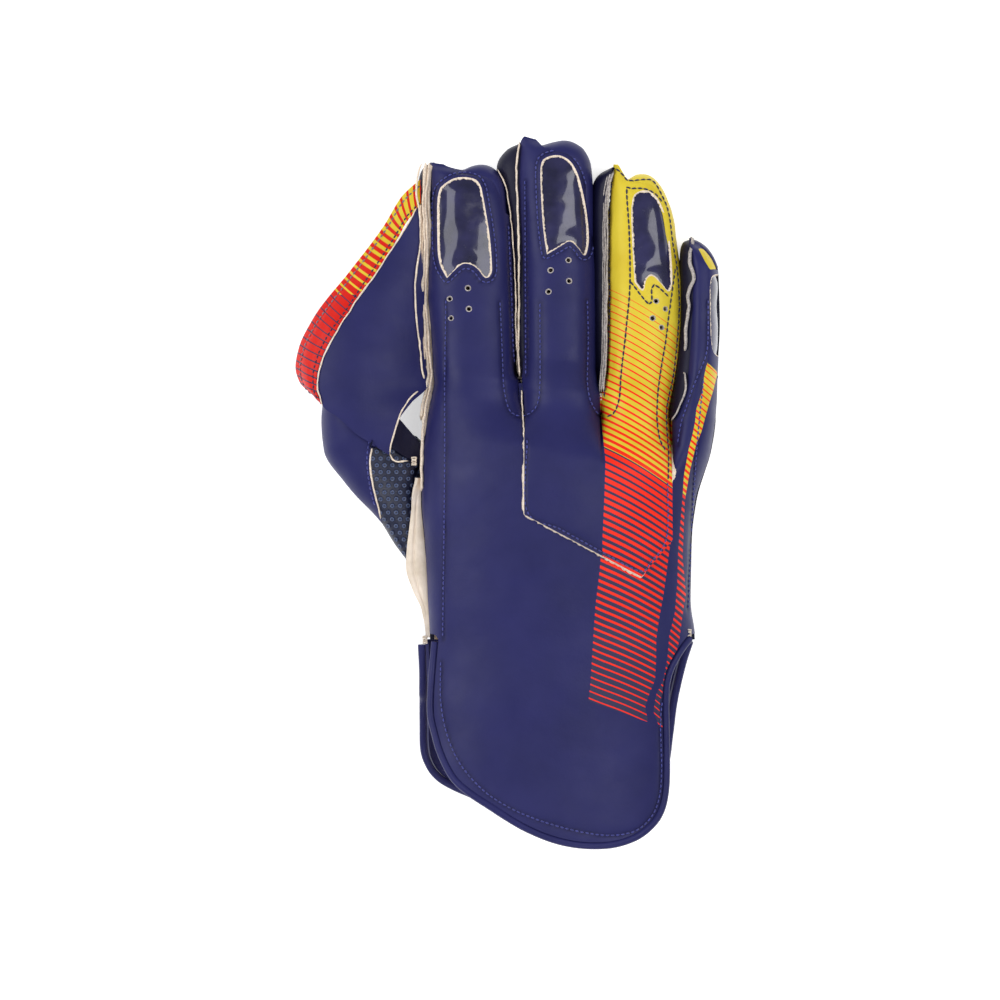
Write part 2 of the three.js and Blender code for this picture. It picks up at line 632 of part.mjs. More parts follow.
const backGrids = STRIPS.map((strip) => ({
  cuff: stripGrid(backPoint, strip, 'cuff'),
  hand: stripGrid(backPoint, strip, 'hand'),
  finger: stripGrid(backPoint, strip, 'finger'),
}));
const palmGrids = STRIPS.map((strip) => ({
  cuff: stripGrid(palmPoint, strip, 'cuff'),
  hand: stripGrid(palmPoint, strip, 'hand'),
  finger: stripGrid(palmPoint, strip, 'finger'),
}));
const PARTS = ['cuff', 'hand', 'finger'];
const allCells = (grids) => grids.flatMap((grid) => PARTS.flatMap((part) => gridCells(grid[part])));
const backNormals = cornerNormals(allCells(backGrids));
const flip = (cells) => cells.map(([a, b, c, d]) => [d, c, b, a]);
const palmNormals = cornerNormals(flip(allCells(palmGrids)));
const palmPoints = palmGrids.flatMap((grid) => PARTS.flatMap((part) => grid[part].flat()));
const lowest = Math.min(...palmPoints.map((p) => p.z));
for (const p of palmPoints) {
  if (p.z < lowest + SLIVER / 2) palmNormals.set(pointKey(p), new THREE.Vector3(0, 0, -1));
}
levelSeams(backGrids, backNormals);
levelSeams(palmGrids, palmNormals);

// Level normals along the side seams, so that back and palm walls meet edge to edge, and forward ones
// where a slit between two fingers ends
function levelSeams(grids, normals) {
  const sides = (rows) => rows.flatMap((row) => [row[0], row.at(-1)]);
  const seams = grids.flatMap((grid) => sides(grid.finger.slice(1)));
  const handSides = (part) => [
    ...grids[0][part].map((row) => row[0]),
    ...grids[3][part].map((row) => row.at(-1)),
  ];
  for (const p of [...seams, ...handSides('cuff'), ...handSides('hand')]) {
    const normal = normals.get(pointKey(p));
    normal.setZ(0).normalize();
  }
  for (const grid of grids.slice(1)) normals.get(pointKey(grid.finger[0][0])).set(0, 1, 0);
}

function windowPrisms(names) {
  return names.map((name) => prism(toMillimetres(WINDOWS[name])));
}

function ventPrism([x, y]) {
  const sides = 6;
  return prism(Array.from({ length: sides }, (_, i) => {
    const angle = (2 * Math.PI * i) / sides;
    return [x + VENT_RADIUS * Math.cos(angle), y + VENT_RADIUS * Math.sin(angle)];
  }));
}

const ventPrisms = (names) => names.flatMap((name) => toMillimetres(VENTS[name]).map(ventPrism));

const cutAll = (solid, cutters) => cutters.reduce((rest, cutter) => rest.subtract(cutter), solid);

// Leather of the index finger, the hand's back, the little finger and the cuff's back flap
function backPanel() {
  const cells = [];
  STRIPS.forEach((strip, s) => {
    const covered = strip.overlay ? HAND_ROWS - 1 : HAND_ROWS;
    cells.push(...gridCells(backGrids[s].cuff), ...gridCells(backGrids[s].hand, (i) => i < covered));
    if (!strip.overlay) cells.push(...gridCells(backGrids[s].finger));
  });
  const panel = toSolid(wall(cells, -LEATHER, 0, backNormals)).intersect(insideFlap(BACK_FLAP));
  return fromSolid(cutAll(panel, [...windowPrisms(['index', 'little']), ...ventPrisms(['index'])]));
}

// Second layer over the middle and ring fingers, with its pointed tail on the hand
function fingerOverlay() {
  const cells = [1, 2].flatMap((s) => [
    ...gridCells(backGrids[s].hand, (i) => i >= 2),
    ...gridCells(backGrids[s].finger),
  ]);
  const layer = toSolid(wall(cells, GAP, GAP + LEATHER, backNormals));
  const overlay = layer.intersect(prism(toMillimetres(OVERLAY)));
  const holes = [...windowPrisms(['middle', 'ring']), ...ventPrisms(['middle', 'ring'])];
  return fromSolid(cutAll(overlay, holes));
}

// Glossy film that closes a fingertip's window from inside
function windowFilm(s) {
  const base = STRIPS[s].overlay ? 0 : -LEATHER - GAP;
  const end = s === 3 ? FILM_ROWS.littleEnd : FILM_ROWS.end;
  const behindWindow = (i, j) => i >= FILM_ROWS.first && i < end && j > 0 && j < TURNS.length - 2;
  const cells = gridCells(backGrids[s].finger, behindWindow);
  return wall(cells, base - FILM, base, backNormals);
}

// Lower shell of a finger stall: its sides, palm side and round tip
function fingerShell(s) {
  const shell = toSolid(wall(flip(gridCells(palmGrids[s].finger)), -LEATHER, 0, palmNormals));
  return fromSolid(shell.intersect(beyondKnuckles(GAP / 2, 2 * GLOVE_LENGTH)));
}

// Everything on one side of the line through all knuckles, as far as a place along the glove
function beyondKnuckles(clear, reach) {
  const line = STRIPS.map(({ knuckle: [, end] }, s) => [read(LINES, 'along', `line${s + 1}`, end), end]);
  const [first, last] = [STRIPS[0].knuckle[0], STRIPS[3].knuckle[1]];
  const points = toMillimetres([[-1, first], [0, first], ...line, [2, last]]);
  const edge = points.map(([x, y]) => [x, y + clear]);
  const outline = [...edge, [edge.at(-1)[0], reach], [edge[0][0], reach]];
  return prism(clear > 0 ? outline : outline.reverse());
}

function palmShell(thumbCavity) {
  const cells = palmGrids.flatMap((grid) => gridCells(grid.hand));
  const shell = toSolid(wall(flip(cells), -LEATHER, 0, palmNormals));
  const behindKnuckles = shell.intersect(beyondKnuckles(-GAP / 2, -GLOVE_LENGTH));
  return fromSolid(behindKnuckles.subtract(thumbCavity));
}

function palmFlap() {
  const cells = palmGrids.flatMap((grid) => gridCells(grid.cuff));
  const wrist = toSolid(wall(flip(cells), -LEATHER, 0, palmNormals));
  const belowWrist = prism([[-BODY_WIDTH, -GLOVE_LENGTH], [2 * BODY_WIDTH, -GLOVE_LENGTH],
    [2 * BODY_WIDTH, along(WRIST) - GAP], [-BODY_WIDTH, along(WRIST) - GAP]]);
  return fromSolid(wrist.intersect(insideFlap(PALM_FLAP)).intersect(belowWrist));
}

// Pimpled rubber facing under the palm and each finger
function palmRubber() {
  const cells = [];
  palmGrids.forEach((grid, s) => {
    const inner = (j) => j >= FACING_FIRST && j <= FACING_LAST;
    const nearSide = (j) => (s === 0 && j < FACING_FIRST) || (s === 3 && j > FACING_LAST);
    const onPalm = (i, j) => i >= 1 && (inner(j) || (i < HAND_ROWS - 3 && !nearSide(j)));
    cells.push(...gridCells(grid.hand, onPalm));
    cells.push(...gridCells(grid.finger, (i, j) => i < FACING_ROWS && inner(j)));
  });
  return wall(flip(cells), GAP, GAP + RUBBER, palmNormals);
}

// Ring of points round the thumb stall at one row of its table, grown or shrunk by a margin
function thumbRing(row, margin) {
  const heading = THREE.MathUtils.degToRad(row.heading);
  const side = new THREE.Vector3(Math.sin(heading), -Math.cos(heading), 0);
  const half = across(row.half) + margin;
  const rise = (high(row.high) - high(row.low)) / 2 + margin;
  const level = high(row.low + row.high) / 2 + RUBBER + GAP;
  const centre = new THREE.Vector3(across(row.across), along(row.along), level);
  return (angle) => centre.clone()
    .addScaledVector(side, half * Math.cos(angle))
    .add(new THREE.Vector3(0, 0, rise * Math.sin(angle)));
}

function thumbSolid(margin) {
  const rings = THUMB.slice(0, -2).map((row) => {
    const ring = thumbRing(row, margin);
    return Array.from({ length: THUMB_SIDES }, (_, j) => ring((-2 * Math.PI * j) / THUMB_SIDES));
  });
  return toSolid(loft(rings));
}

// Closed solid of the whole hand between wrist and knuckles, grown by a margin
function handSolid(margin) {
  const rows = Array.from({ length: 11 }, (_, i) => lerp(0.32, 0.6, i / 10));
  const rings = rows.map((y) => {
    const turns = (s) => TURNS.slice(s > 0 ? 1 : 0);
    const line = (point) => STRIPS.flatMap((strip, s) => turns(s).map((turn) => point(strip, turn, y)));
    const ring = [...line(palmPoint), ...line(backPoint).reverse()];
    return ring.map((p, j) => {
      const before = ring[(j + ring.length - 1) % ring.length];
      const after = ring[(j + 1) % ring.length];
      const heading = new THREE.Vector3().subVectors(after, before).normalize();
      return p.clone().add(new THREE.Vector3(heading.z * margin, 0, -heading.x * margin));
    });
  });
  return toSolid(loft(rings.map((ring) => ring.reverse())));
}

// One half of the thumb stall, either its leather back, on the left, or its rubber front, on the right
function thumbHalf(isBack, hand) {
  const steps = THUMB_SIDES / 2;
  const turned = isBack ? Math.PI / 2 : -Math.PI / 2;
  const sides = THUMB.map((row) => {
    const heading = THREE.MathUtils.degToRad(row.heading);
    return new THREE.Vector3(Math.sin(heading), -Math.cos(heading), 0);
  });
  const grid = THUMB.map((row, i) => Array.from({ length: steps + 1 }, (_, j) => {
    const apart = (isBack ? -1 : 1) * GAP;
    return thumbRing(row, 0)(turned + (Math.PI * j) / steps).addScaledVector(sides[i], apart);
  }));
  const cells = flip(gridCells(grid));
  const normals = cornerNormals(cells);
  grid.forEach((row, i) => [row[0], row.at(-1)].forEach((p) => {
    const normal = normals.get(pointKey(p));
    normal.addScaledVector(sides[i], -normal.dot(sides[i])).normalize();
  }));
  return fromSolid(toSolid(wall(cells, -LEATHER, 0, normals)).subtract(hand));
}

// Curved leather web, thicker than its edges are apart from the thumb
function ruledSheet(rows, count, pointAt, thickness) {
  const grid = rows.map((row) => Array.from({ length: count + 1 }, (_, j) => pointAt(row, j / count)));
  return wall(gridCells(grid), -thickness, 0);
}

function webPoint(row, t) {
  const [right, middle, left] = row.heights;
  const bulge = 4 * t * (1 - t);
  const height = lerp(right, left, t) + (middle - (right + left) / 2) * bulge;
  const x = lerp(row.right[0], row.left[0], t);
  const y = lerp(row.right[1], row.left[1], t);
  return new THREE.Vector3(across(x), along(y), high(height) + RUBBER + GAP + LEATHER);
}

function webPanel() {
  return ruledSheet(WEB, 8, webPoint, LEATHER);
}

function webBinding() {
  return ruledSheet(BINDING, 3, (row, t) => {
    const width = Math.hypot(across(row.outer[0] - row.inner[0]), along(row.outer[1] - row.inner[1]));
    const u = lerp((2 * GAP) / width, 1, t);
    const x = lerp(row.inner[0], row.outer[0], u);
    const y = lerp(row.inner[1], row.outer[1], u);
    const height = lerp(row.heights[0], row.heights[1], u * u);
    return new THREE.Vector3(across(x), along(y), high(height) + RUBBER + LEATHER - GAP);
  }, LEATHER);
}

// Raw leather edges that stand out along a finger's left seam
function seamWelt(strip, start, end, thickness, height) {
  const outside = 2 * GAP;
  const grid = Array.from({ length: WELT_ROWS + 1 }, (_, i) => {
    const y = lerp(start, end, i / WELT_ROWS);
    const x = across(edgesAt(strip, y)[0]);
    const z = backPoint(strip, 0, y).z;
    return [-0.5, 0, 0.5].map((level) => new THREE.Vector3(x, along(y), z + level * height));
  });
  return wall(gridCells(grid), outside, outside + thickness);
}

// Fold of lining that stands out between back and palm on the thumb side
function sideLining() {
  return ruledSheet(SIDE_LINING, 3, (row, t) => {
    const y = row.along;
    const seam = backPoint(STRIPS[0], 0, y);
    const reach = across(row.out) * t;
    const x = seam.x - 3 * GAP - reach;
    const z = lerp(seam.z, high(row.height) + RUBBER + GAP, t * t);
    return new THREE.Vector3(x, seam.y, z);
  }, LINING);
}

const glove = new THREE.Group();

function add(name, geometry, finish) {
  const mesh = new THREE.Mesh(geometry, new THREE.MeshStandardMaterial(finish));
  geometry.computeVertexNormals();
  mesh.name = name;
  glove.add(mesh);
}

const hand = handSolid(THUMB_GAP);
const thumbCavity = thumbSolid(-LEATHER);
add('back_panel', backPanel(), NAVY);
add('finger_overlay', fingerOverlay(), NAVY);
STRIPS.forEach((strip, s) => {
  add(`${strip.name}_window`, windowFilm(s), NAVY_GLOSS);
  add(`${strip.name}_shell`, fingerShell(s), strip.name === 'ring' ? YELLOW : NAVY);
});
add('palm_shell', palmShell(thumbCavity), NAVY);
add('palm_flap', palmFlap(), NAVY);
add('palm_rubber', palmRubber(), RUBBER_NAVY);
add('thumb_back', thumbHalf(true, hand), NAVY);
add('thumb_front', thumbHalf(false, hand), RUBBER_NAVY);
add('web_panel', webPanel(), NAVY);
add('web_binding', webBinding(), RED);
add('index_welt', seamWelt(STRIPS[0], 0.56, 0.95, THICK_WELT, WELT_HEIGHT), CREAM);
add('middle_welt', seamWelt(STRIPS[1], 0.68, 0.97, THIN_WELT, THIN_WELT_HEIGHT), CREAM);
add('ring_welt', seamWelt(STRIPS[2], 0.69, 0.93, THIN_WELT, THIN_WELT_HEIGHT), CREAM);
add('little_welt', seamWelt(STRIPS[3], 0.63, 0.84, THIN_WELT, THIN_WELT_HEIGHT), CREAM);
add('side_lining', sideLining(), CREAM);

const cuffHeight = (share, inwards) => high(share) + RUBBER + GAP + (inwards * LEATHER) / 2;

function backRimHeight(x, y) {
  return cuffHeight(handArch(x / BODY_WIDTH, y / GLOVE_LENGTH), -1);
}

function palmRimHeight(x, y) {
  const left = edgesAt(STRIPS[0], y / GLOVE_LENGTH)[0];
  const right = edgesAt(STRIPS[3], y / GLOVE_LENGTH)[1];
  const t = clamp((x / BODY_WIDTH - left) / (right - left), 0, 1);
  return cuffHeight(palmArch(t, y / GLOVE_LENGTH), 1);
}

add('back_piping', piping(BACK_FLAP, backRimHeight), NAVY);
add('palm_piping', piping(PALM_FLAP, palmRimHeight), NAVY);

const box = new THREE.Box3().setFromObject(glove);
glove.position.set(-(box.min.x + box.max.x) / 2, -(box.min.y + box.max.y) / 2, -box.min.z);

export default glove;
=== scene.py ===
import itertools
import math

import bpy
import numpy as np
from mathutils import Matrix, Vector
from mathutils.bvhtree import BVHTree


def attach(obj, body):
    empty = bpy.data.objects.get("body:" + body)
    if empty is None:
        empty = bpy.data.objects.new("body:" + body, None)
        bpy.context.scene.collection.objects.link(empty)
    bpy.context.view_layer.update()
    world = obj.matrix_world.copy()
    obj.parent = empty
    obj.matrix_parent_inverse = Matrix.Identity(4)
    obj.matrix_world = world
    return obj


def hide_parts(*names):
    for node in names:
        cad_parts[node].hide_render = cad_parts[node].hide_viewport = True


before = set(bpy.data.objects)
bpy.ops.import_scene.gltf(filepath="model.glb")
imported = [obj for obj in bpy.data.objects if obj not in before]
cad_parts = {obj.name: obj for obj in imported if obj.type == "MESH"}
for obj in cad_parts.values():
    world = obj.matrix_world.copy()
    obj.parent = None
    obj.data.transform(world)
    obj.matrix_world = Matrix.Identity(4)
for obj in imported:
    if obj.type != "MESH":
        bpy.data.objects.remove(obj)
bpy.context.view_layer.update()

# Driving dimensions of the frame, in millimetres
GLOVE_LENGTH = 322
BODY_WIDTH = 135
HAND_DEPTH = 52
LEATHER = 2
RUBBER = 2
FILM = 0.8
LINING = 1.5
GAP = 0.3
VENT_RADIUS = 1.0
RIM_RADIUS = 1.75
ORIGIN = np.array([-39.49, -161.13, 0.15])

# The photograph: pixels of the index finger's seam and of the rim, and how many the two sizes above span
SEAM_PIXEL = 420
RIM_PIXEL = 850
WIDTH_PIXELS = 300
LENGTH_PIXELS = 717
PHOTO_PIXELS = 1000
PIXEL_WIDTH = BODY_WIDTH / WIDTH_PIXELS

# Places are shares, as in the frame's source: across of BODY_WIDTH from the index finger's seam,
# along of GLOVE_LENGTH from the cuff's rim, heights of HAND_DEPTH from the table.
WRIST = 0.293
KNUCKLE_BLEND = 0.09
BOW = 0.84
BOW_POWER = 2.2
TIP_RISE = 1.5
BACK_ROUNDNESS = 0.78
PALM_ROUNDNESS = 0.62
FLATTENING = 1.2
PALM_FLATTENING = 1.06
ARCH_POWER = 2.2
PALM_ARCH_POWER = 3.4
INSET_REACH = 0.12

FINGER_PROFILE = {
    "reach": [0.0, 0.15, 0.4, 0.7, 0.88, 0.96, 1.0],
    "seam": [0.34, 0.33, 0.3, 0.29, 0.29, 0.3, 0.31],
    "crown": [0.74, 0.69, 0.63, 0.59, 0.56, 0.5, 0.4],
    "floor": [0.04, 0.03, 0.0, 0.0, 0.0, 0.02, 0.08],
}
HAND_PROFILE = {
    "along": [0.0, 0.1, 0.2, 0.293, 0.34, 0.5, 0.6, 0.66],
    "left": [0.56, 0.54, 0.52, 0.5, 0.5, 0.49, 0.43, 0.34],
    "right": [0.5, 0.48, 0.46, 0.42, 0.4, 0.36, 0.33, 0.3],
    "palm_left": [0.26, 0.32, 0.4, 0.5, 0.5, 0.49, 0.43, 0.34],
    "palm_right": [0.26, 0.3, 0.34, 0.42, 0.4, 0.36, 0.33, 0.3],
    "crown": [1.0, 0.98, 0.97, 0.97, 0.98, 0.99, 0.92, 0.82],
    "floor": [0.06, 0.02, 0.0, 0.0, 0.0, 0.05, 0.05, 0.04],
    "out_left": [0.03, 0.03, 0.035, 0.045, 0, 0, 0, 0],
    "out_right": [0.02, 0.02, 0.02, 0.01, 0, 0, 0, 0],
}
LINES_ALONG = [0.0, 0.181, 0.293, 0.349, 0.432, 0.488, 0.558, 0.6, 0.628, 0.651]
LINES = [
    [0.0, 0.003, 0.033, 0.03, 0.014, 0.003, 0.004, 0.02, 0.036, 0.047],
    [0.307, 0.32, 0.333, 0.343, 0.347, 0.347, 0.347, 0.347, 0.343, 0.34],
    [0.573, 0.587, 0.6, 0.605, 0.607, 0.607, 0.605, 0.603, 0.603, 0.603],
    [0.72, 0.733, 0.8, 0.818, 0.837, 0.84, 0.838, 0.833, 0.84, 0.85],
    [0.86, 0.865, 0.917, 0.903, 0.907, 0.923, 0.973, 0.987, 0.99, 0.992],
]
FINGERS = [
    {
        "name": "index", "knuckle": [0.651, 0.651], "back_tip": [0.961, 0.957, 0.949, 0.931],
        "palm_tip": 0.95, "roll": 0, "overlay": False,
        "along": [0.651, 0.668, 0.711, 0.781, 0.844, 0.907, 0.961],
        "left": [0.047, 0.043, 0.036, 0.026, 0.03, 0.036, 0.036],
        "right": [0.34, 0.322, 0.32, 0.317, 0.31, 0.293, 0.257],
    },
    {
        "name": "middle", "knuckle": [0.651, 0.628], "back_tip": [0.998, 0.99, 0.984, 0.966],
        "palm_tip": 0.986, "roll": 0, "overlay": True,
        "along": [0.628, 0.651, 0.668, 0.767, 0.851, 0.934, 1.0],
        "left": [0.343, 0.34, 0.339, 0.339, 0.333, 0.32, 0.33],
        "right": [0.603, 0.588, 0.587, 0.587, 0.583, 0.573, 0.56],
    },
    {
        "name": "ring", "knuckle": [0.628, 0.6], "back_tip": [0.958, 0.945, 0.938, 0.9],
        "palm_tip": 0.938, "roll": 0.02, "overlay": True,
        "along": [0.6, 0.618, 0.628, 0.662, 0.697, 0.767, 0.851, 0.921, 0.96],
        "left": [0.603, 0.603, 0.603, 0.619, 0.623, 0.625, 0.6255, 0.631, 0.645],
        "right": [0.833, 0.838, 0.843, 0.858, 0.871, 0.879, 0.857, 0.827, 0.783],
    },
    {
        "name": "little", "knuckle": [0.6, 0.6], "back_tip": [0.855, 0.85, 0.842, 0.815],
        "palm_tip": 0.847, "roll": 0.07, "overlay": False,
        "along": [0.6, 0.618, 0.662, 0.739, 0.809, 0.855],
        "left": [0.833, 0.853, 0.885, 0.897, 0.9, 0.897],
        "right": [0.987, 0.99, 0.993, 1.002, 0.997, 0.95],
    },
]
THUMB = {
    "across": [0.045, -0.013, -0.063, -0.153, -0.21, -0.213, -0.21, -0.207, -0.207, -0.207],
    "along": [0.473, 0.478, 0.513, 0.551, 0.583, 0.616, 0.642, 0.661, 0.671, 0.6735],
    "heading": [180, 178, 152, 131, 118, 100, 95, 93, 92, 92],
    "half": [0.2, 0.2, 0.15, 0.136, 0.128, 0.12, 0.108, 0.078, 0.04, 0.0],
    "low": [0.06, 0.05, 0.03, 0.02, 0.02, 0.02, 0.05, 0.12, 0.22, 0.32],
    "high": [0.36, 0.38, 0.47, 0.57, 0.61, 0.62, 0.59, 0.53, 0.42, 0.32],
}
WEB = {
    "right_x": [0.016, 0.016, 0.016, 0.014, 0.013, 0.016, 0.024, 0.028, -0.03, -0.07, -0.093, -0.103],
    "right_y": [0.909, 0.872, 0.834, 0.795, 0.756, 0.717, 0.681, 0.65, 0.623, 0.6, 0.572, 0.551],
    "left_x": [-0.007, -0.057, -0.107, -0.163, -0.227, -0.28, -0.32, -0.34, -0.323, -0.273, -0.21, -0.157],
    "left_y": [0.898, 0.863, 0.83, 0.794, 0.756, 0.72, 0.688, 0.65, 0.619, 0.603, 0.579, 0.565],
    "right_z": [0.34, 0.34, 0.35, 0.37, 0.37, 0.38, 0.4, 0.43, 0.5, 0.56, 0.58, 0.57],
    "middle_z": [0.345, 0.36, 0.4, 0.46, 0.52, 0.58, 0.625, 0.635, 0.64, 0.635, 0.615, 0.595],
    "left_z": [0.35, 0.37, 0.42, 0.48, 0.54, 0.58, 0.59, 0.59, 0.6, 0.62, 0.61, 0.6],
}
BINDING = {
    "inner_x": [0.004, -0.037, -0.07, -0.12, -0.183, -0.24, -0.29, -0.323, -0.34, -0.34, -0.33, -0.329],
    "inner_y": [0.897, 0.879, 0.855, 0.821, 0.781, 0.743, 0.714, 0.686, 0.658, 0.639, 0.625, 0.62],
    "outer_x": [0.0, -0.06, -0.12, -0.18, -0.247, -0.31, -0.363, -0.403, -0.417, -0.403, -0.373, -0.34],
    "outer_y": [0.937, 0.914, 0.873, 0.838, 0.802, 0.77, 0.738, 0.704, 0.675, 0.653, 0.64, 0.627],
    "inner_z": [0.35, 0.36, 0.38, 0.44, 0.49, 0.55, 0.59, 0.59, 0.59, 0.59, 0.59, 0.58],
    "outer_z": [0.32, 0.33, 0.34, 0.37, 0.39, 0.41, 0.41, 0.38, 0.34, 0.34, 0.4, 0.53],
}
SIDE_LINING = {
    "along": [0.296, 0.335, 0.36, 0.391, 0.418, 0.467, 0.499, 0.519],
    "out": [0.008, 0.02, 0.045, 0.063, 0.055, 0.03, 0.016, 0.004],
    "height": [0.46, 0.44, 0.42, 0.43, 0.45, 0.48, 0.5, 0.5],
}
BACK_FLAP = [
    [0.038, 0.291], [0.027, 0.24], [0.023, 0.192], [0.037, 0.162], [0.06, 0.131], [0.1, 0.099],
    [0.153, 0.078], [0.233, 0.056], [0.333, 0.03], [0.433, 0.012], [0.533, 0.003], [0.633, 0.003],
    [0.717, 0.013], [0.777, 0.031], [0.813, 0.053], [0.83, 0.084], [0.833, 0.131], [0.83, 0.209],
    [0.84, 0.244], [0.873, 0.272], [0.907, 0.291],
]
PALM_FLAP = [
    [-0.007, 0.286], [-0.003, 0.237], [-0.003, 0.179], [0.0, 0.137], [0.02, 0.112], [0.05, 0.096],
    [0.093, 0.084], [0.167, 0.07], [0.3, 0.049], [0.467, 0.033], [0.633, 0.033], [0.75, 0.053],
    [0.813, 0.084], [0.837, 0.126], [0.847, 0.16], [0.863, 0.209], [0.893, 0.262], [0.913, 0.288],
]
OVERLAY = [
    [0.737, 0.381], [0.841, 0.433], [0.838, 0.57], [0.83, 0.602], [0.838, 0.622], [0.85, 0.645],
    [0.862, 0.672], [0.874, 0.705], [0.882, 0.76], [0.95, 0.87], [0.95, 1.1], [0.25, 1.1],
    [0.31, 0.93], [0.33, 0.85], [0.338, 0.77], [0.337, 0.67], [0.343, 0.645], [0.347, 0.61],
    [0.347, 0.468],
]
WINDOWS = {
    "index": [
        [0.057, 0.921], [0.087, 0.932], [0.117, 0.939], [0.16, 0.94], [0.2, 0.934], [0.213, 0.907],
        [0.233, 0.858], [0.24, 0.82], [0.24, 0.803], [0.217, 0.796], [0.193, 0.812], [0.16, 0.819],
        [0.133, 0.817], [0.09, 0.798], [0.06, 0.82], [0.057, 0.865],
    ],
    "middle": [
        [0.4, 0.96], [0.423, 0.968], [0.457, 0.971], [0.487, 0.967], [0.51, 0.958], [0.53, 0.941],
        [0.55, 0.907], [0.563, 0.868], [0.563, 0.844], [0.55, 0.826], [0.527, 0.841], [0.5, 0.851],
        [0.477, 0.845], [0.423, 0.831], [0.41, 0.865], [0.403, 0.914],
    ],
    "ring": [
        [0.703, 0.911], [0.733, 0.921], [0.767, 0.921], [0.8, 0.907], [0.825, 0.877], [0.838, 0.832],
        [0.843, 0.79], [0.83, 0.776], [0.8, 0.792], [0.773, 0.803], [0.752, 0.797], [0.745, 0.776],
        [0.715, 0.792], [0.706, 0.851],
    ],
    "little": [
        [0.966, 0.795], [0.98, 0.805], [1.05, 0.805], [1.05, 0.685], [0.99, 0.687], [0.97, 0.7],
        [0.966, 0.753],
    ],
}
VENTS = {
    "index": [[0.16, 0.784], [0.099, 0.769], [0.163, 0.755], [0.103, 0.742]],
    "middle": [[0.495, 0.823], [0.435, 0.809], [0.497, 0.794], [0.428, 0.779]],
    "ring": [[0.787, 0.766], [0.817, 0.755], [0.775, 0.742], [0.805, 0.729]],
}
WEDGE_CORNERS = {"index": 13, "middle": 13, "ring": 12, "little": 6}

# Lines that the photograph shows, in its pixels
STITCHED_ON_BACK = {
    "index_side": [(446, 300), (445, 380), (445, 460), (444, 560), (443, 640)],
    "index_slit_left": [(500, 302), (502, 350), (503.5, 385), (507.6, 406), (513, 414), (522, 417)],
    "little_side": [(708, 300), (707, 348), (699, 372), (693, 387), (687, 405), (681, 423), (677, 446)],
    "index_slit_inner": [(508, 225), (511, 290), (513, 350), (517, 376)],
    "cuff_rim": [
        (441, 662), (441, 700), (446, 730), (456, 756), (470, 776), (490, 795), (520, 812), (560, 826),
        (600, 834), (630, 832), (648, 820), (658, 800), (661, 770), (660, 720), (664, 690), (672, 668),
    ],
    "little_edge": [(703, 380), (697, 440), (693, 500), (690, 560), (688, 610)],
}
STITCHED_ON_OVERLAY = {
    "middle_left": [(525, 180), (525.5, 240), (526, 310), (526, 375)],
    "middle_slit_left": [(522, 417), (532, 412), (538, 402), (540, 380), (540, 302)],
    "middle_slit_right": [(587, 300), (588, 340), (587, 380), (590, 400), (597, 413), (602, 417)],
    "tail": [
        (527, 440), (527, 511), (560, 529), (600, 551), (639, 571), (650, 562), (666, 537), (667, 480),
    ],
}
STITCHED_ON_YELLOW = {
    "ring_left": [
        (614, 170), (611.5, 190), (610, 215), (609.7, 260), (610.2, 300), (609, 340), (604.5, 396),
    ],
    "ring_cap": [
        (613, 172), (616, 167), (623.6, 175), (628.5, 180), (643, 179), (652.7, 180), (661, 193),
        (668.5, 212), (673, 245), (677, 269), (679, 300), (677.6, 332), (673, 375), (666, 411), (668, 454),
        (667.5, 480),
    ],
    "ring_window": [
        (662, 201), (655, 193), (644, 188), (632, 188), (626.7, 189), (629, 227), (630, 281), (627, 320),
        (621, 375), (619, 399), (613, 414), (602, 417),
    ],
    "ring_zigzag": [(630, 281), (650, 304.5), (653, 284.5), (671, 298.5)],
    "ring_inner": [
        (675, 268), (671, 298), (668, 320), (665, 344), (660.6, 369), (657.6, 393), (656.5, 417),
        (659, 438), (664, 449), (668, 452),
    ],
}
BAND_LEFT = [
    (600, 405), (602, 429), (605, 461), (604, 495), (602, 539), (599, 573), (595, 606), (592, 651),
    (590, 684), (588, 700),
]
BAND_RIGHT = [
    (648, 722), (644.5, 707), (649, 693), (654.5, 680), (655.6, 658), (655.6, 640), (658, 622), (663, 595),
    (666, 573), (669, 550),
]
SIDE_BAND = [
    (707, 362), (704, 375), (702, 391), (696, 409), (694.5, 423), (692, 435), (688.5, 448), (683.6, 475),
    (682, 501), (678, 550), (677, 584), (674.6, 613), (669, 635), (667, 658), (663, 680), (655.6, 695),
    (653, 711), (659, 727), (663, 727), (659, 711), (660, 698), (668, 684), (673.5, 662), (679, 640),
    (682, 617), (685.8, 595), (682.4, 557), (684.6, 501), (690, 469), (696, 444), (701, 432), (705, 417),
    (709, 403), (713, 391), (718, 372),
]
LITTLE_CORNER = [(698, 247), (706, 249), (722, 262), (722, 268), (710, 269), (705, 261)]
CUT_TIPS = {
    "index": [
        (424, 161), (433, 160), (440, 161), (447, 165), (457, 168), (466, 169.5), (476, 172), (487, 175.5),
        (495, 182), (500, 195), (504, 210), (514, 216), (530, 216), (530, 130), (424, 130),
    ],
    "middle": [
        (505, 160), (517.5, 158), (519, 146), (522, 137.5), (526.5, 134), (532, 135.5), (537, 139),
        (540.5, 143), (545, 147), (553, 149.5), (566, 152.5), (576, 159), (583, 171), (587, 190), (590, 207),
        (594, 226), (602, 245), (602, 120), (505, 120),
    ],
    "ring": [
        (600, 175), (609, 172), (612, 165.5), (616, 161.5), (620, 166), (624, 173), (629, 179.5), (643, 182),
        (652, 184), (659, 195), (665.5, 212), (669, 228), (686, 236), (690, 150), (600, 150),
    ],
}
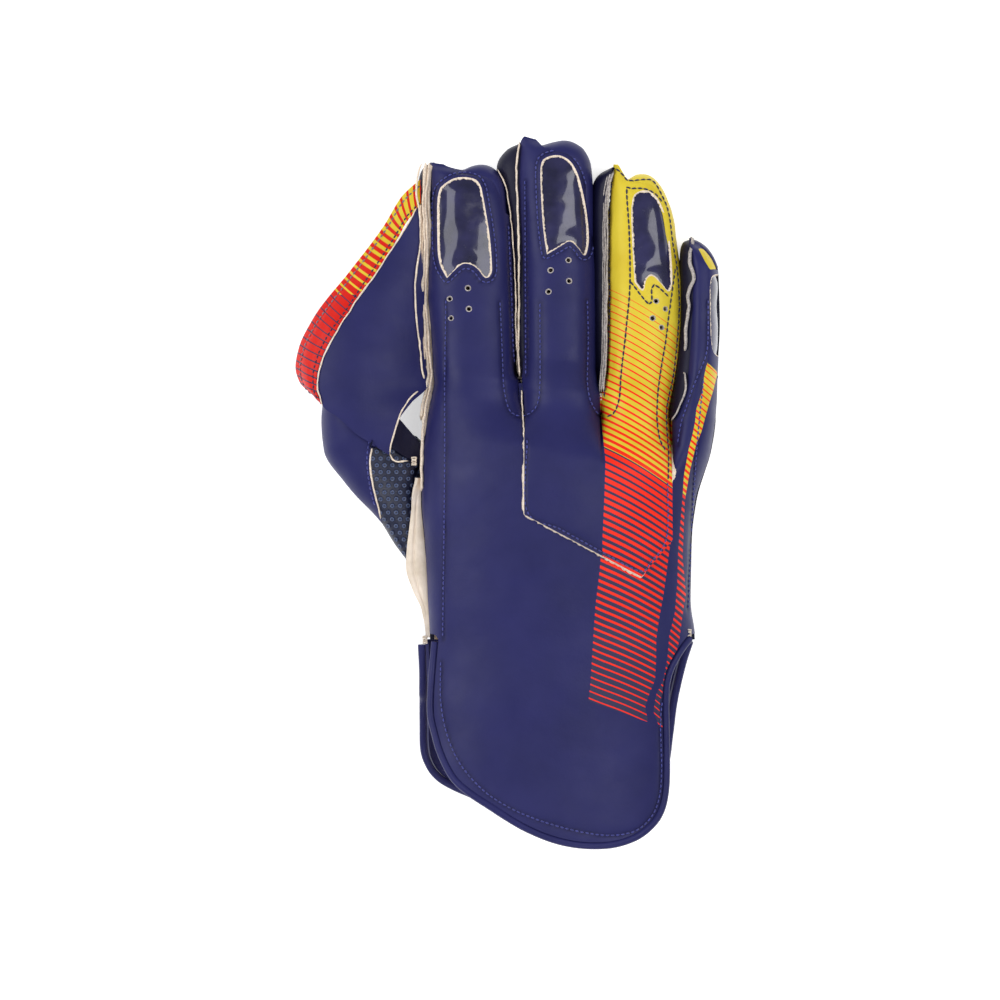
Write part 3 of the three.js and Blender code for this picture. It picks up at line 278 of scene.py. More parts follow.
TIP_CAPS = {
    "index": {
        "sunk": 0.7,
        "edge": [
            (432, 167), (440, 168), (447, 171), (456, 173), (464, 173), (476, 175), (486, 177.5),
            (493, 184), (498, 196), (501, 212), (502, 228),
        ],
        "contour": [
            (431, 162.5), (440, 163.5), (447, 167), (456, 169.5), (464, 168), (472, 164.5), (481, 163),
            (490, 165), (498, 171), (505, 184), (509, 232),
        ],
    },
    "middle": {
        "sunk": 0.7,
        "edge": [
            (523, 147), (527, 142), (532, 143), (537, 147), (543, 150), (553, 153), (565, 155),
            (574, 161), (581, 173), (585, 191), (585, 232),
        ],
        "contour": [
            (521.5, 142), (526.5, 137), (532, 138.5), (537, 142), (541, 144), (552, 141), (565, 139),
            (576, 142), (586, 151), (592.5, 173), (594, 236),
        ],
    },
    "ring": {
        "sunk": 0.7,
        "edge": [
            (613, 172), (616, 169), (620, 174), (624, 179), (629, 182), (641, 184), (650, 187),
            (656, 197), (662, 212), (665, 228), (667, 246),
        ],
        "contour": [
            (612.5, 168), (616, 164.5), (619.5, 169), (623.5, 175.5), (628, 178), (638, 173), (650, 174),
            (660, 183), (668, 198), (675, 222), (677, 250),
        ],
    },
    "little": {
        "sunk": 2.6,
        "edge": [(690.5, 241.5), (697.5, 245), (705, 251), (711.5, 259.5), (715.5, 269)],
        "contour": [(690, 239.5), (698, 242.5), (706, 248.5), (712, 257), (716, 267)],
    },
}
SIDE_LOBES = {
    "index": {
        "sunk": 5.0,
        "edge": [(433, 163), (432.5, 180), (432.5, 200), (432, 225), (431.5, 250)],
        "contour": [(425, 163), (419.5, 173), (417.5, 190), (420, 215), (421, 248)],
    },
    "middle": {
        "sunk": 1.6,
        "edge": [
            (522, 141), (522, 150), (522, 170), (522, 215), (524, 262), (525, 310), (525, 350),
            (525, 376),
        ],
        "contour": [
            (519, 142), (506, 149), (497, 164), (499, 190), (506, 235), (510, 290), (513, 340),
            (517, 376),
        ],
    },
    "ring": {
        "sunk": 1.6,
        "edge": [(613, 166), (610, 180), (608, 215), (607, 262), (606, 310), (605, 350), (603, 394)],
        "contour": [(612, 166), (598, 174), (592, 190), (590, 235), (589, 300), (589, 350), (594, 394)],
    },
    "little": {
        "sunk": 1.6,
        "edge": [(692, 239), (694, 252), (696, 280), (695, 305), (693, 340), (689, 378), (681, 418)],
        "contour": [(691, 238), (683, 242), (680, 256), (680, 290), (679, 325), (674, 370), (667, 418)],
    },
}
THUMB_SEAM = [
    (372, 350), (378, 400), (375, 425), (372, 445), (370.5, 458), (371, 470), (374, 490), (378, 505),
    (381, 519),
]
TONGUE_EDGE = [
    (420, 389), (410, 398), (401, 412), (395, 430), (390.5, 446), (389.5, 454), (393, 459.5), (399, 461.5),
    (408, 460.5),
]
TONGUE_HEIGHTS = [34, 33.5, 33, 32]
GUSSET = [[(398, 417), (410, 431), (423, 447)], [(391, 447), (403, 455), (421, 464)]]

# Colours, as a screen shows them
NAVY = (0.145, 0.148, 0.355)
NAVY_DEEP = (0.12, 0.125, 0.315)
# Painted shade: the navy leather darkened for the palm side, undersides and sides turned away from the lamps
NAVY_PALM_SHADE = (0.06, 0.06, 0.16)
NAVY_PALM_SHADE_DEEP = (0.06, 0.06, 0.17)
# Painted shade: darker navy that the printed leather takes in its stitch channels
NAVY_GROOVE_SHADE = (0.07, 0.07, 0.21)
YELLOW = (0.86, 0.78, 0.235)
YELLOW_DEEP = (0.81, 0.71, 0.16)
RED = (0.93, 0.16, 0.07)
# Painted shade: a deeper red for the binding, whose slope the left lamp lights strongly
RED_PAINTED_SHADE = (0.80, 0.10, 0.05)
STRIPE_NAVY = (0.20, 0.19, 0.30)
CREAM = (0.97, 0.91, 0.84)
CREAM_DARK = (0.79, 0.71, 0.63)
LINING_CREAM = (0.93, 0.88, 0.83)
LINING_SHADE = (0.78, 0.72, 0.64)
EDGE_GREY = (0.76, 0.73, 0.71)
EDGE_GREY_DARK = (0.40, 0.38, 0.41)
FILM_VIOLET = (0.15, 0.145, 0.31)
FILM_DEEP = (0.06, 0.06, 0.20)
RUBBER_NAVY = (0.065, 0.085, 0.19)
RUBBER_DUST = (0.12, 0.155, 0.28)
# Painted highlight: the pale colour on the rims of the rubber pimples
RUBBER_HIGHLIGHT = (0.36, 0.43, 0.60)
THREAD_BLUE = (0.25, 0.27, 0.62)
THREAD_DARK = (0.09, 0.09, 0.28)
THREAD_GREY = (0.50, 0.49, 0.56)
FLOOR_WHITE = (0.96, 0.96, 0.96)

# Finishes of a wall's faces, by number
OUTSIDE, INSIDE, CUT = range(3)


def lerp(a, b, t):
    return a + (b - a) * t


def smoothstep(value, low, high):
    t = np.clip((value - low) / (high - low), 0, 1)
    return t * t * (3 - 2 * t)


def unit(vectors):
    """The same vectors, one long."""
    return vectors / np.maximum(np.linalg.norm(vectors, axis=-1, keepdims=True), 1e-9)


def picked(line, count):
    """As many points of a line as count, evenly spread."""
    return line[np.linspace(0, len(line) - 1, count).astype(int)]


def curve(places, values):
    """Reads a table's column smoothly between its rows, with no overshoot."""
    x, y = np.array(places, float), np.array(values, float)
    step = np.diff(x)
    slope = np.diff(y) / step
    both, total = slope[:-1] * slope[1:], slope[:-1] + slope[1:]
    tangent = np.zeros(len(x))
    tangent[1:-1] = np.where(both > 0, 2 * both / np.where(total == 0, 1, total), 0)

    def at(place):
        place = np.clip(np.asarray(place, float), x[0], x[-1])
        i = np.clip(np.searchsorted(x, place, "right") - 1, 0, len(step) - 1)
        t = (place - x[i]) / step[i]
        rise = y[i + 1] - y[i]
        start, end = tangent[i] * step[i], tangent[i + 1] * step[i]
        return y[i] + t * (start + t * (3 * rise - 2 * start - end + t * (start + end - 2 * rise)))

    return at


def row_curves(table):
    """Each column of a table as a smooth curve over its row numbers."""
    return {name: curve(range(len(column)), column) for name, column in table.items()}


finger_height = {name: curve(FINGER_PROFILE["reach"], column) for name, column in FINGER_PROFILE.items()}
hand_height = {name: curve(HAND_PROFILE["along"], column) for name, column in HAND_PROFILE.items()}
STRIPS = range(len(FINGERS))
line_across = [curve(LINES_ALONG, column) for column in LINES]
side_across = [[curve(f["along"], f[side]) for side in ("left", "right")] for f in FINGERS]
back_tip = [curve(np.linspace(0, 1, 4), f["back_tip"]) for f in FINGERS]


def millimetres(outline):
    """Shares of width and length as millimetres."""
    return np.array(outline, float) * (BODY_WIDTH, GLOVE_LENGTH)


def from_photo(pixels):
    """Pixels of the photograph as millimetres of the frame's source."""
    pixels = np.array(pixels, float)
    across = (pixels[:, 0] - SEAM_PIXEL) * BODY_WIDTH / WIDTH_PIXELS
    along = (RIM_PIXEL - pixels[:, 1]) * GLOVE_LENGTH / LENGTH_PIXELS
    return np.column_stack([across, along])


def to_photo(points):
    """Columns and rows of the photograph that show points of the frame's source."""
    column = SEAM_PIXEL + points[..., 0] * WIDTH_PIXELS / BODY_WIDTH
    return column, RIM_PIXEL - points[..., 1] * LENGTH_PIXELS / GLOVE_LENGTH


NOISE_SHIFT = 31.7
NOISE_WEIGHTS = np.array([127.1, 311.7, 74.7])
NOISE_SCALE = 43758.5453


def noise(points, size, seed=0):
    """Smooth noise from -1 to 1 that changes over a distance of size."""
    place = np.asarray(points, float) / size + NOISE_SHIFT * seed
    cell = np.floor(place)
    share = place - cell
    share = share * share * (3 - 2 * share)
    weights = NOISE_WEIGHTS[: place.shape[-1]]
    total = np.zeros(place.shape[:-1])
    for corner in itertools.product((0, 1), repeat=place.shape[-1]):
        value = np.sin((cell + corner) @ weights) * NOISE_SCALE
        part = np.where(corner, share, 1 - share).prod(-1)
        total += part * (2 * (value - np.floor(value)) - 1)
    return total


def line_distance(points, line):
    """Distance in the plane from points to a line of points."""
    nearest = np.full(len(points), np.inf)
    for a, b in zip(line[:-1], line[1:]):
        along = b - a
        t = np.clip((points[:, :2] - a) @ along / max(along @ along, 1e-9), 0, 1)
        nearest = np.minimum(nearest, np.linalg.norm(points[:, :2] - a - t[:, None] * along, axis=1))
    return nearest


def inside_distance(points, outline):
    """Distance in the plane to a closed outline, positive inside it."""
    closed = np.vstack([outline, outline[:1]])
    x, y = points[:, 0], points[:, 1]
    inside = np.zeros(len(points), bool)
    for (ax, ay), (bx, by) in zip(closed[:-1], closed[1:]):
        crosses = (ay > y) != (by > y)
        inside ^= crosses & (x < (bx - ax) * (y - ay) / (by - ay if by != ay else 1) + ax)
    return np.where(inside, 1, -1) * line_distance(points, closed)


def softened(outline, sharp=(), rounds=2):
    """Closed outline with its corners cut round, apart from the sharp ones."""
    points = [(np.array(p, float), i in sharp) for i, p in enumerate(outline)]
    for _ in range(rounds):
        cut = []
        for i, (point, is_sharp) in enumerate(points):
            before, after = points[i - 1][0], points[(i + 1) % len(points)][0]
            if is_sharp:
                cut.append((point, True))
            else:
                cut.append((lerp(point, before, 0.25), False))
                cut.append((lerp(point, after, 0.25), False))
        points = cut
    return np.array([point for point, _ in points])


def smooth_line(points, spacing):
    """Even steps along a smooth curve through points."""
    points = np.array(points, float)
    padded = np.vstack([2 * points[0] - points[1], points, 2 * points[-1] - points[-2]])
    fine = []
    for i in range(len(points) - 1):
        a, b, c, d = padded[i : i + 4]
        t = np.linspace(0, 1, 24, endpoint=False)[:, None]
        fine.append(0.5 * (2 * b + (c - a) * t + (2 * a - 5 * b + 4 * c - d) * t**2
                           + (3 * b - a - 3 * c + d) * t**3))
    fine = np.vstack(fine + [points[-1:]])
    lengths = np.concatenate([[0], np.cumsum(np.linalg.norm(np.diff(fine, axis=0), axis=1))])
    places = np.linspace(0, lengths[-1], max(2, round(lengths[-1] / spacing) + 1))
    return np.column_stack([np.interp(places, lengths, column) for column in fine.T])


# Surfaces of the frame's source

def edges_at(s, y):
    """Shares of the width where a finger's strip has its left and right edge."""
    knuckle = FINGERS[s]["knuckle"]
    return [np.where(y <= knuckle[i], line_across[s + i](y), side_across[s][i](y)) for i in (0, 1)]


def knuckle_at(s, turn):
    """Where a finger leaves the hand, along the glove."""
    return lerp(FINGERS[s]["knuckle"][0], FINGERS[s]["knuckle"][1], turn)


def hand_share(x, y):
    """How far across the hand a place is, from 0 to 1."""
    left, right = edges_at(0, y)[0], edges_at(3, y)[1]
    return np.clip((x - left) / (right - left), 0, 1)


def hand_arch(x, y):
    """Height of the back over the hand and the cuff."""
    t = hand_share(x, y)
    chord = lerp(hand_height["left"](y), hand_height["right"](y), t)
    rise = (1 - np.abs(2 * t - 1) ** ARCH_POWER) ** (1 / ARCH_POWER)
    return chord + (hand_height["crown"](y) - chord) * rise


def palm_arch(t, y):
    """Height of the palm side under the hand and the cuff."""
    chord = lerp(hand_height["palm_left"](y), hand_height["palm_right"](y), t)
    drop = (1 - np.abs(2 * t - 1) ** PALM_ARCH_POWER) ** (1 / PALM_ARCH_POWER)
    return chord - (chord - hand_height["floor"](y)) * np.minimum(1, drop * PALM_FLATTENING)


def signed_power(value, power):
    """A power that keeps its value's sign."""
    return np.sign(value) * np.abs(value) ** power


def roll_at(s, turn, reach):
    """How far a finger's turn lifts one of its sides."""
    return FINGERS[s]["roll"] * (1 - 2 * turn) * np.minimum(1, reach / INSET_REACH)


def millimetre_points(x, y, z):
    """Points from shares across and along, and heights in millimetres."""
    return np.stack([x * BODY_WIDTH, y * GLOVE_LENGTH, z], -1)


def back_point(s, turn, y):
    """Outer surface of the back over one finger's strip."""
    knuckle = knuckle_at(s, turn)
    reach = np.clip((y - knuckle) / (back_tip[s](turn) - knuckle), 0, 1)
    finger = smoothstep(y, knuckle - KNUCKLE_BLEND, knuckle)
    layer = (GAP + LEATHER) * np.minimum(1, reach / INSET_REACH) * FINGERS[s]["overlay"]
    left, right = edges_at(s, y)
    angle = math.pi * (1 - turn)
    level = np.cos(angle)
    spread = lerp(level, signed_power(level, BACK_ROUNDNESS), finger)
    x = (left + right) / 2 + ((right - left) / 2 - layer / BODY_WIDTH) * spread
    seam = finger_height["seam"](reach)
    arch = np.abs(np.sin(angle)) ** BACK_ROUNDNESS
    crown = finger_height["crown"](reach) - layer / HAND_DEPTH
    finger_z = seam + roll_at(s, turn, reach) + (crown - seam) * arch
    z = lerp(hand_arch(x, y), finger_z, finger)
    return millimetre_points(x, y, z * HAND_DEPTH + RUBBER + 1.5 * GAP)


def palm_point(s, turn, y, flare=0):
    """Outer surface of the palm side below the same strip."""
    knuckle = knuckle_at(s, turn)
    reach = np.clip((y - knuckle) / (FINGERS[s]["palm_tip"] - knuckle), 0, 1)
    back_reach = np.clip((y - knuckle) / (back_tip[s](turn) - knuckle), 0, 1)
    finger = smoothstep(y, knuckle - KNUCKLE_BLEND, knuckle)
    bow = np.maximum(0, (reach - BOW) / (1 - BOW))
    narrowing = np.maximum(0, 1 - bow**BOW_POWER) ** (1 / BOW_POWER)
    left, right = edges_at(s, y)
    angle = math.pi * (1 - turn)
    level = np.cos(angle)
    spread = lerp(level, signed_power(level, PALM_ROUNDNESS), finger) * narrowing
    x = (left + right) / 2 + (right - left) / 2 * spread
    rim = finger_height["seam"](back_reach) + roll_at(s, turn, back_reach)
    tucked_under = FINGER_PROFILE["crown"][-1] - (LEATHER + 2 * GAP) / HAND_DEPTH
    seam = lerp(rim, tucked_under, (1 - narrowing) ** TIP_RISE)
    drop = np.minimum(1, np.abs(np.sin(angle)) ** PALM_ROUNDNESS * FLATTENING) * narrowing
    finger_z = seam - (seam - finger_height["floor"](reach)) * drop
    t = hand_share(x, y)
    z = lerp(palm_arch(t, y), finger_z, finger)
    out = flare * (t * hand_height["out_right"](y) - (1 - t) * hand_height["out_left"](y))
    return millimetre_points(x + out, y, z * HAND_DEPTH + RUBBER + GAP / 2)


# Sheets of triangles

# Points nearer than this, in millimetres, are one, and a cut this near a point runs through it
MERGE = 0.002
SNAP = 0.02


class Sheet:
    """Triangles over points in millimetres, with numbers carried at each point."""

    def __init__(self, points, faces, **marks):
        self.points = np.asarray(points, float)
        self.faces = np.asarray(faces, int)
        self.marks = {name: np.asarray(values, float) for name, values in marks.items()}

    def merged(self):
        """The same sheet with the points that coincide made one."""
        keys = np.round(self.points / MERGE).astype(int)
        _, first, place = np.unique(keys, axis=0, return_index=True, return_inverse=True)
        faces = place.reshape(-1)[self.faces]
        a, b, c = faces.T
        faces = faces[(a != b) & (b != c) & (c != a)]
        return Sheet(self.points[first], faces, **{n: v[first] for n, v in self.marks.items()})

    def trimmed(self):
        """The same sheet without the points that no triangle uses."""
        used, faces = np.unique(self.faces, return_inverse=True)
        return Sheet(self.points[used], faces.reshape(-1, 3), **{n: v[used] for n, v in self.marks.items()})

    def normals(self):
        a, b, c = (self.points[self.faces[:, i]] for i in range(3))
        face = np.cross(b - a, c - a)
        total = np.zeros_like(self.points)
        for i in range(3):
            np.add.at(total, self.faces[:, i], face)
        return unit(total)

    def tree(self):
        """The sheet as a tree that lines can be cast at."""
        return BVHTree.FromPolygons(self.points.tolist(), self.faces.tolist())

    def moved(self, distance):
        """The sheet moved along its normals by a distance at each point."""
        shift = self.normals() * np.broadcast_to(distance, len(self.points))[:, None]
        return Sheet(self.points + shift, self.faces, **self.marks)

    def refined(self, near):
        """The sheet with each triangle at a near point split in four, and its neighbours fitted."""
        edges = np.sort(self.faces[:, [0, 1, 1, 2, 2, 0]].reshape(-1, 2), axis=1)
        unique, which = np.unique(edges, axis=0, return_inverse=True)
        which = which.reshape(-1, 3)
        split = np.zeros(len(unique), bool)
        split[which[near[self.faces].any(1)].ravel()] = True
        middle = np.full(len(unique), -1)
        middle[split] = len(self.points) + np.arange(split.sum())
        a, b = unique[split].T
        points = np.vstack([self.points, (self.points[a] + self.points[b]) / 2])
        marks = {n: np.concatenate([v, (v[a] + v[b]) / 2]) for n, v in self.marks.items()}
        faces = []
        for corners, mids in zip(self.faces, middle[which]):
            cut = mids >= 0
            if not cut.any():
                faces.append(corners)
                continue
            p, m = list(corners), list(mids)
            if cut.all():
                faces += [(p[0], m[0], m[2]), (m[0], p[1], m[1]), (m[2], m[1], p[2]), (m[0], m[1], m[2])]
                continue
            turn = int(np.argmax(cut)) if cut.sum() == 1 else (int(np.argmin(cut)) + 1) % 3
            p, m = p[turn:] + p[:turn], m[turn:] + m[:turn]
            if cut.sum() == 1:
                faces += [(p[0], m[0], p[2]), (m[0], p[1], p[2])]
            else:
                faces += [(m[0], p[1], m[1]), (p[0], m[0], m[1]), (p[0], m[1], p[2])]
        return Sheet(points, faces, **marks)

    def clipped(self, keep):
        """The part where keep, a number at each point, isn't negative, cut through the triangles."""
        keep = np.where(np.abs(keep) < SNAP, 0, keep)
        side = keep[self.faces]
        faces = list(self.faces[(side >= 0).all(1)])
        made, joins = {}, []

        def crossing(a, b):
            key = (min(a, b), max(a, b))
            if key not in made:
                made[key] = len(self.points) + len(joins)
                joins.append((key[0], key[1], keep[key[0]] / (keep[key[0]] - keep[key[1]])))
            return made[key]

        for corners in self.faces[(side < 0).any(1) & (side > 0).any(1)]:
            ring = []
            for a, b in zip(corners, np.roll(corners, -1)):
                if keep[a] >= 0:
                    ring.append(a)
                if keep[a] * keep[b] < 0:
                    ring.append(crossing(a, b))
            faces += [(ring[0], ring[i], ring[i + 1]) for i in range(1, len(ring) - 1)]
        a, b = (np.array([j[i] for j in joins], int) for i in (0, 1))
        t = np.array([j[2] for j in joins])
        points = np.vstack([self.points, lerp(self.points[a], self.points[b], t[:, None])])
        marks = {n: np.concatenate([v, lerp(v[a], v[b], t)]) for n, v in self.marks.items()}
        return Sheet(points, faces, **marks).trimmed()

    def split(self, values):
        """The sheet with points added where values, a number at each point, change their sign."""
        return joined(self.clipped(values), self.clipped(-values)).merged()

    def border(self):
        """Edges with a triangle on one side only, in the triangles' direction."""
        edges = self.faces[:, [0, 1, 1, 2, 2, 0]].reshape(-1, 2)
        size = len(self.points)
        there, back = edges[:, 0] * size + edges[:, 1], edges[:, 1] * size + edges[:, 0]
        return edges[~np.isin(there, back)]

    def outward(self):
        """Direction at each border point that leads off the sheet, in its surface."""
        normals, edges = self.normals(), self.border()
        off = np.cross(self.points[edges[:, 1]] - self.points[edges[:, 0]], normals[edges[:, 0]])
        total = np.zeros_like(self.points)
        for i in (0, 1):
            np.add.at(total, edges[:, i], off)
        return unit(total)


def joined(*sheets):
    """Several sheets as one. A mark that one of them lacks is 0 there."""
    names = sorted({name for sheet in sheets for name in sheet.marks})
    starts = np.cumsum([0] + [len(sheet.points) for sheet in sheets])
    marks = {
        name: np.concatenate([sheet.marks.get(name, np.zeros(len(sheet.points))) for sheet in sheets])
        for name in names
    }
    faces = np.vstack([sheet.faces + start for sheet, start in zip(sheets, starts)])
    return Sheet(np.vstack([sheet.points for sheet in sheets]), faces, **marks)


def grid_sheet(grid, **marks):
    """Sheet over a grid of points. It faces up where rows run along the glove and columns across it."""
    rows, columns = grid.shape[:2]
    at = np.arange(rows * columns).reshape(rows, columns)
    a, b, c, d = at[:-1, :-1], at[:-1, 1:], at[1:, 1:], at[1:, :-1]
    faces = np.stack([a, b, c, a, c, d], -1).reshape(-1, 3)
    return Sheet(grid.reshape(-1, 3), faces, **{name: values.ravel() for name, values in marks.items()})


def turned_over(sheet):
    """The same sheet, facing the other way."""
    return Sheet(sheet.points, sheet.faces[:, ::-1], **sheet.marks)


TIP_CROWDING = 0.35


def strip_sheet(point, s, part, step, columns, first=0.0):
    """Part of one finger's strip: its cuff, hand or finger, with rows about a step apart."""
    turn = np.linspace(0, 1, columns + 1)[None, :]
    knuckle = knuckle_at(s, turn)
    tip = back_tip[s](turn) if point is back_point else np.full_like(turn, FINGERS[s]["palm_tip"])
    wrist = np.full_like(turn, WRIST)
    low, high = {"cuff": (0 * turn, wrist), "hand": (wrist, knuckle), "finger": (knuckle, tip)}[part]
    hand_length = FINGERS[0]["knuckle"][0] - WRIST
    length = {"cuff": WRIST, "hand": hand_length, "finger": float((high - low).mean())}[part]
    count = max(2, round(length * (1 - first) * GLOVE_LENGTH / step))
    share = np.linspace(first, 1, count + 1)[:, None]
    if part == "finger":
        share = lerp(share, np.sin(share * math.pi / 2), TIP_CROWDING)
    y = lerp(low, high, share)
    grid = point(s, turn, y, 1) if part == "cuff" and point is palm_point else point(s, turn, y)
    return grid_sheet(grid, strip=np.full(y.shape, s))


# Relief

RELIEF = {"height": [0.42, 0.25, 0.08], "size": [34, 15, 6]}
CHANNEL = {"depth": 0.5, "width": 0.9}
SAG = {"depth": 0.18, "width": 2.8}


def relief(points):
    """Soft unevenness of worked leather, which all of its layers share."""
    waves = zip(RELIEF["height"], RELIEF["size"])
    return sum(height * noise(points[:, :2], size, seed) for seed, (height, size) in enumerate(waves, 1))


def sewn_relief(points, lines):
    """Puckered channels that lines of stitches pull into the leather, and how near the lines are, which
    darkens the leather's colour there as painted shade.
    """
    depth, near = np.zeros(len(points)), np.full(len(points), 99.0)
    pucker = 1 + 0.35 * noise(points[:, :2], 3.2, 5)
    for line in lines:
        gap = line_distance(points, line)
        depth = np.maximum(depth, CHANNEL["depth"] * np.exp(-((gap / CHANNEL["width"]) ** 2)) * pucker)
        depth = np.maximum(depth, SAG["depth"] * np.exp(-((gap / SAG["width"]) ** 2)))
        near = np.minimum(near, gap)
    return -depth, np.exp(-((near / 0.8) ** 2))


# Materials

def linear(colour):
    """A colour from a screen's values to light."""
    return [c / 12.92 if c <= 0.04045 else ((c + 0.055) / 1.055) ** 2.4 for c in colour] + [1.0]


class Shader:
    """Short ways to add and join the nodes of one material."""

    def __init__(self, name, **sockets):
        self.material = bpy.data.materials.new(name)
        self.material.use_nodes = True
        self.tree = self.material.node_tree
        self.surface = self.tree.nodes["Principled BSDF"]
        for socket, value in sockets.items():
            self.surface.inputs[socket.replace("_", " ")].default_value = value
        self.place = self.node("ShaderNodeTexCoord").outputs["Object"]

    def node(self, kind, **settings):
        made = self.tree.nodes.new(kind)
        for name, value in settings.items():
            setattr(made, name, value)
        return made

    def feed(self, socket, value):
        if isinstance(value, bpy.types.NodeSocket):
            self.tree.links.new(value, socket)
        elif isinstance(value, (tuple, list)) and len(value) == 3 and socket.type == "RGBA":
            socket.default_value = linear(value)
        else:
            socket.default_value = value

    def math(self, operation, a, b=0.0, c=0.0):
        made = self.node("ShaderNodeMath", operation=operation)
        for socket, value in zip(made.inputs, (a, b, c)):
            self.feed(socket, value)
        return made.outputs[0]

    def mark(self, name):
        return self.node("ShaderNodeAttribute", attribute_name=name).outputs["Fac"]

    def above(self, value, edge, blur):
        """0 below an edge and 1 above it, over a short blur."""
        share = self.math("DIVIDE", self.math("SUBTRACT", value, edge), blur)
        made = self.node("ShaderNodeClamp")
        self.feed(made.inputs["Value"], self.math("ADD", share, 0.5))
        return made.outputs[0]

    def mix(self, share, a, b):
        made = self.node("ShaderNodeMix", data_type="RGBA")
        for index, value in ((0, share), (6, a), (7, b)):
            self.feed(made.inputs[index], value)
        return made.outputs[2]

    def speckle(self, size, detail=3.0, roughness=0.55):
        """Noise whose features are about size metres across."""
        made = self.node("ShaderNodeTexNoise")
        self.feed(made.inputs["Vector"], self.place)
        made.inputs["Scale"].default_value = 1 / size
        made.inputs["Detail"].default_value = detail
        made.inputs["Roughness"].default_value = roughness
        return made.outputs[0]

    def cells(self, size):
        """Distance to the middle of the nearest of many cells, about size metres across."""
        made = self.node("ShaderNodeTexVoronoi")
        self.feed(made.inputs["Vector"], self.place)
        made.inputs["Scale"].default_value = 1 / size
        return made.outputs[0]

    def spread(self, value, low, high, start=0.3, end=0.7):
        made = self.node("ShaderNodeMapRange")
        for socket, number in zip(made.inputs, (value, start, end, low, high)):
            self.feed(socket, number)
        return made.outputs[0]

    def mottled(self, size, a, b, detail=3.0, start=0.3, end=0.7):
        """Two colours in soft patches about size metres across."""
        return self.mix(self.spread(self.speckle(size, detail), 0, 1, start, end), a, b)

    def bump(self, height, depth, strength, under=None):
        made = self.node("ShaderNodeBump")
        made.inputs["Strength"].default_value = strength
        made.inputs["Distance"].default_value = depth
        self.feed(made.inputs["Height"], height)
        if under is not None:
            self.feed(made.inputs["Normal"], under)
        return made.outputs[0]

    def finish(self, colour, roughness=None, normal=None):
        self.feed(self.surface.inputs["Base Color"], colour)
        if roughness is not None:
            self.feed(self.surface.inputs["Roughness"], roughness)
        if normal is not None:
            self.feed(self.surface.inputs["Normal"], normal)
        return self.material


def leather_grain(shader):
    """Fine pebbled grain over a softer unevenness."""
    pebbles = shader.bump(shader.cells(0.0011), 0.00006, 0.35)
    return shader.bump(shader.speckle(0.006, 4), 0.0004, 0.3, pebbles)


def striped(shader, plain, red):
    """Plain leather with the striped print where the piece's marks say so."""
    wave = shader.math("PINGPONG", shader.mark("phase"), 0.5)
    half = shader.math("MULTIPLY", shader.mark("share"), 0.5)
    ragged = shader.math("MULTIPLY", shader.math("SUBTRACT", shader.speckle(0.0012, 3), 0.5), 0.05)
    on_stripe = shader.above(shader.math("ADD", half, ragged), wave, 0.05)
    yellow = shader.mottled(0.02, YELLOW_DEEP, YELLOW)
    between = shader.mix(shader.above(shader.mark("upper"), 0, 0.15), STRIPE_NAVY, yellow)
    return shader.mix(shader.above(shader.mark("band"), 0, 0.15), plain, shader.mix(on_stripe, between, red))


def leather(name, colour, deep, stripe=None):
    """Smooth coated leather. Where it has a stripe's colour it carries a striped print and painted shade in
    its stitch channels.
    """
    shader = Shader(name, Specular_IOR_Level=0.2)
    shade = shader.mottled(0.03, deep, colour, 4)
    if stripe:
        # Painted shade: the colour turns towards darker navy near stitch lines, in their channels
        shade = shader.mix(shader.math("MULTIPLY", shader.mark("sewn"), 0.8), shade, NAVY_GROOVE_SHADE)
        shade = striped(shader, shade, stripe)
    rough = shader.spread(shader.speckle(0.012, 5), 0.38, 0.52)
    return shader.finish(shade, rough, leather_grain(shader))


def cut_edge(name, colour, deep):
    """Raw, fibrous edge of leather."""
    shader = Shader(name, Specular_IOR_Level=0.2)
    fibre = shader.speckle(0.0009, 5, 0.7)
    shade = shader.mix(shader.spread(fibre, 0, 1, 0.25, 0.6), deep, colour)
    return shader.finish(shade, 0.9, shader.bump(shader.speckle(0.0006, 5, 0.7), 0.0004, 0.8))


def lining_cloth():
    """Soft brushed lining, with a faint weave."""
    shader = Shader("lining_cloth", Specular_IOR_Level=0.15, Sheen_Weight=0.25)
    shade = shader.mottled(0.012, LINING_SHADE, LINING_CREAM, 5)
    weave = shader.bump(shader.cells(0.0009), 0.00012, 0.5)
    return shader.finish(shade, 0.95, shader.bump(shader.speckle(0.002, 4), 0.0004, 0.4, weave))


def film_gloss():
    """Stiff glossy film with smudges."""
    shader = Shader("film_gloss", Specular_IOR_Level=0.25, Coat_Weight=0.6, Coat_Roughness=0.05)
    shade = shader.mottled(0.014, FILM_DEEP, FILM_VIOLET, start=0.35, end=0.65)
    rough = shader.spread(shader.speckle(0.004, 5), 0.08, 0.3)
    return shader.finish(shade, rough, shader.bump(shader.speckle(0.009, 2), 0.0006, 0.25))


def rubber():
    """Dull rubber with dust, and a painted highlight on the rims of its pimples."""
    shader = Shader("pimpled_rubber", Specular_IOR_Level=0.5)
    dust = shader.spread(shader.speckle(0.0025, 5), 0, 0.5, 0.4, 0.8)
    base = shader.mix(dust, RUBBER_NAVY, RUBBER_DUST)
    # Painted highlight: paler rims on the pimples, where the mark is high
    shade = shader.mix(shader.math("MULTIPLY", shader.mark("pimple_highlight"), 0.75), base, RUBBER_HIGHLIGHT)
    rough = shader.spread(shader.speckle(0.005, 4), 0.28, 0.55)
    return shader.finish(shade, rough, shader.bump(shader.speckle(0.0008, 4), 0.0001, 0.6))


def thread(name, colour):
    """Twisted polyester thread."""
    shader = Shader(name, Specular_IOR_Level=0.4, Sheen_Weight=0.2)
    shade = shader.mottled(0.0008, [0.7 * c for c in colour], colour)
    return shader.finish(shade, 0.55, shader.bump(shader.speckle(0.0004, 2), 0.0001, 0.6))


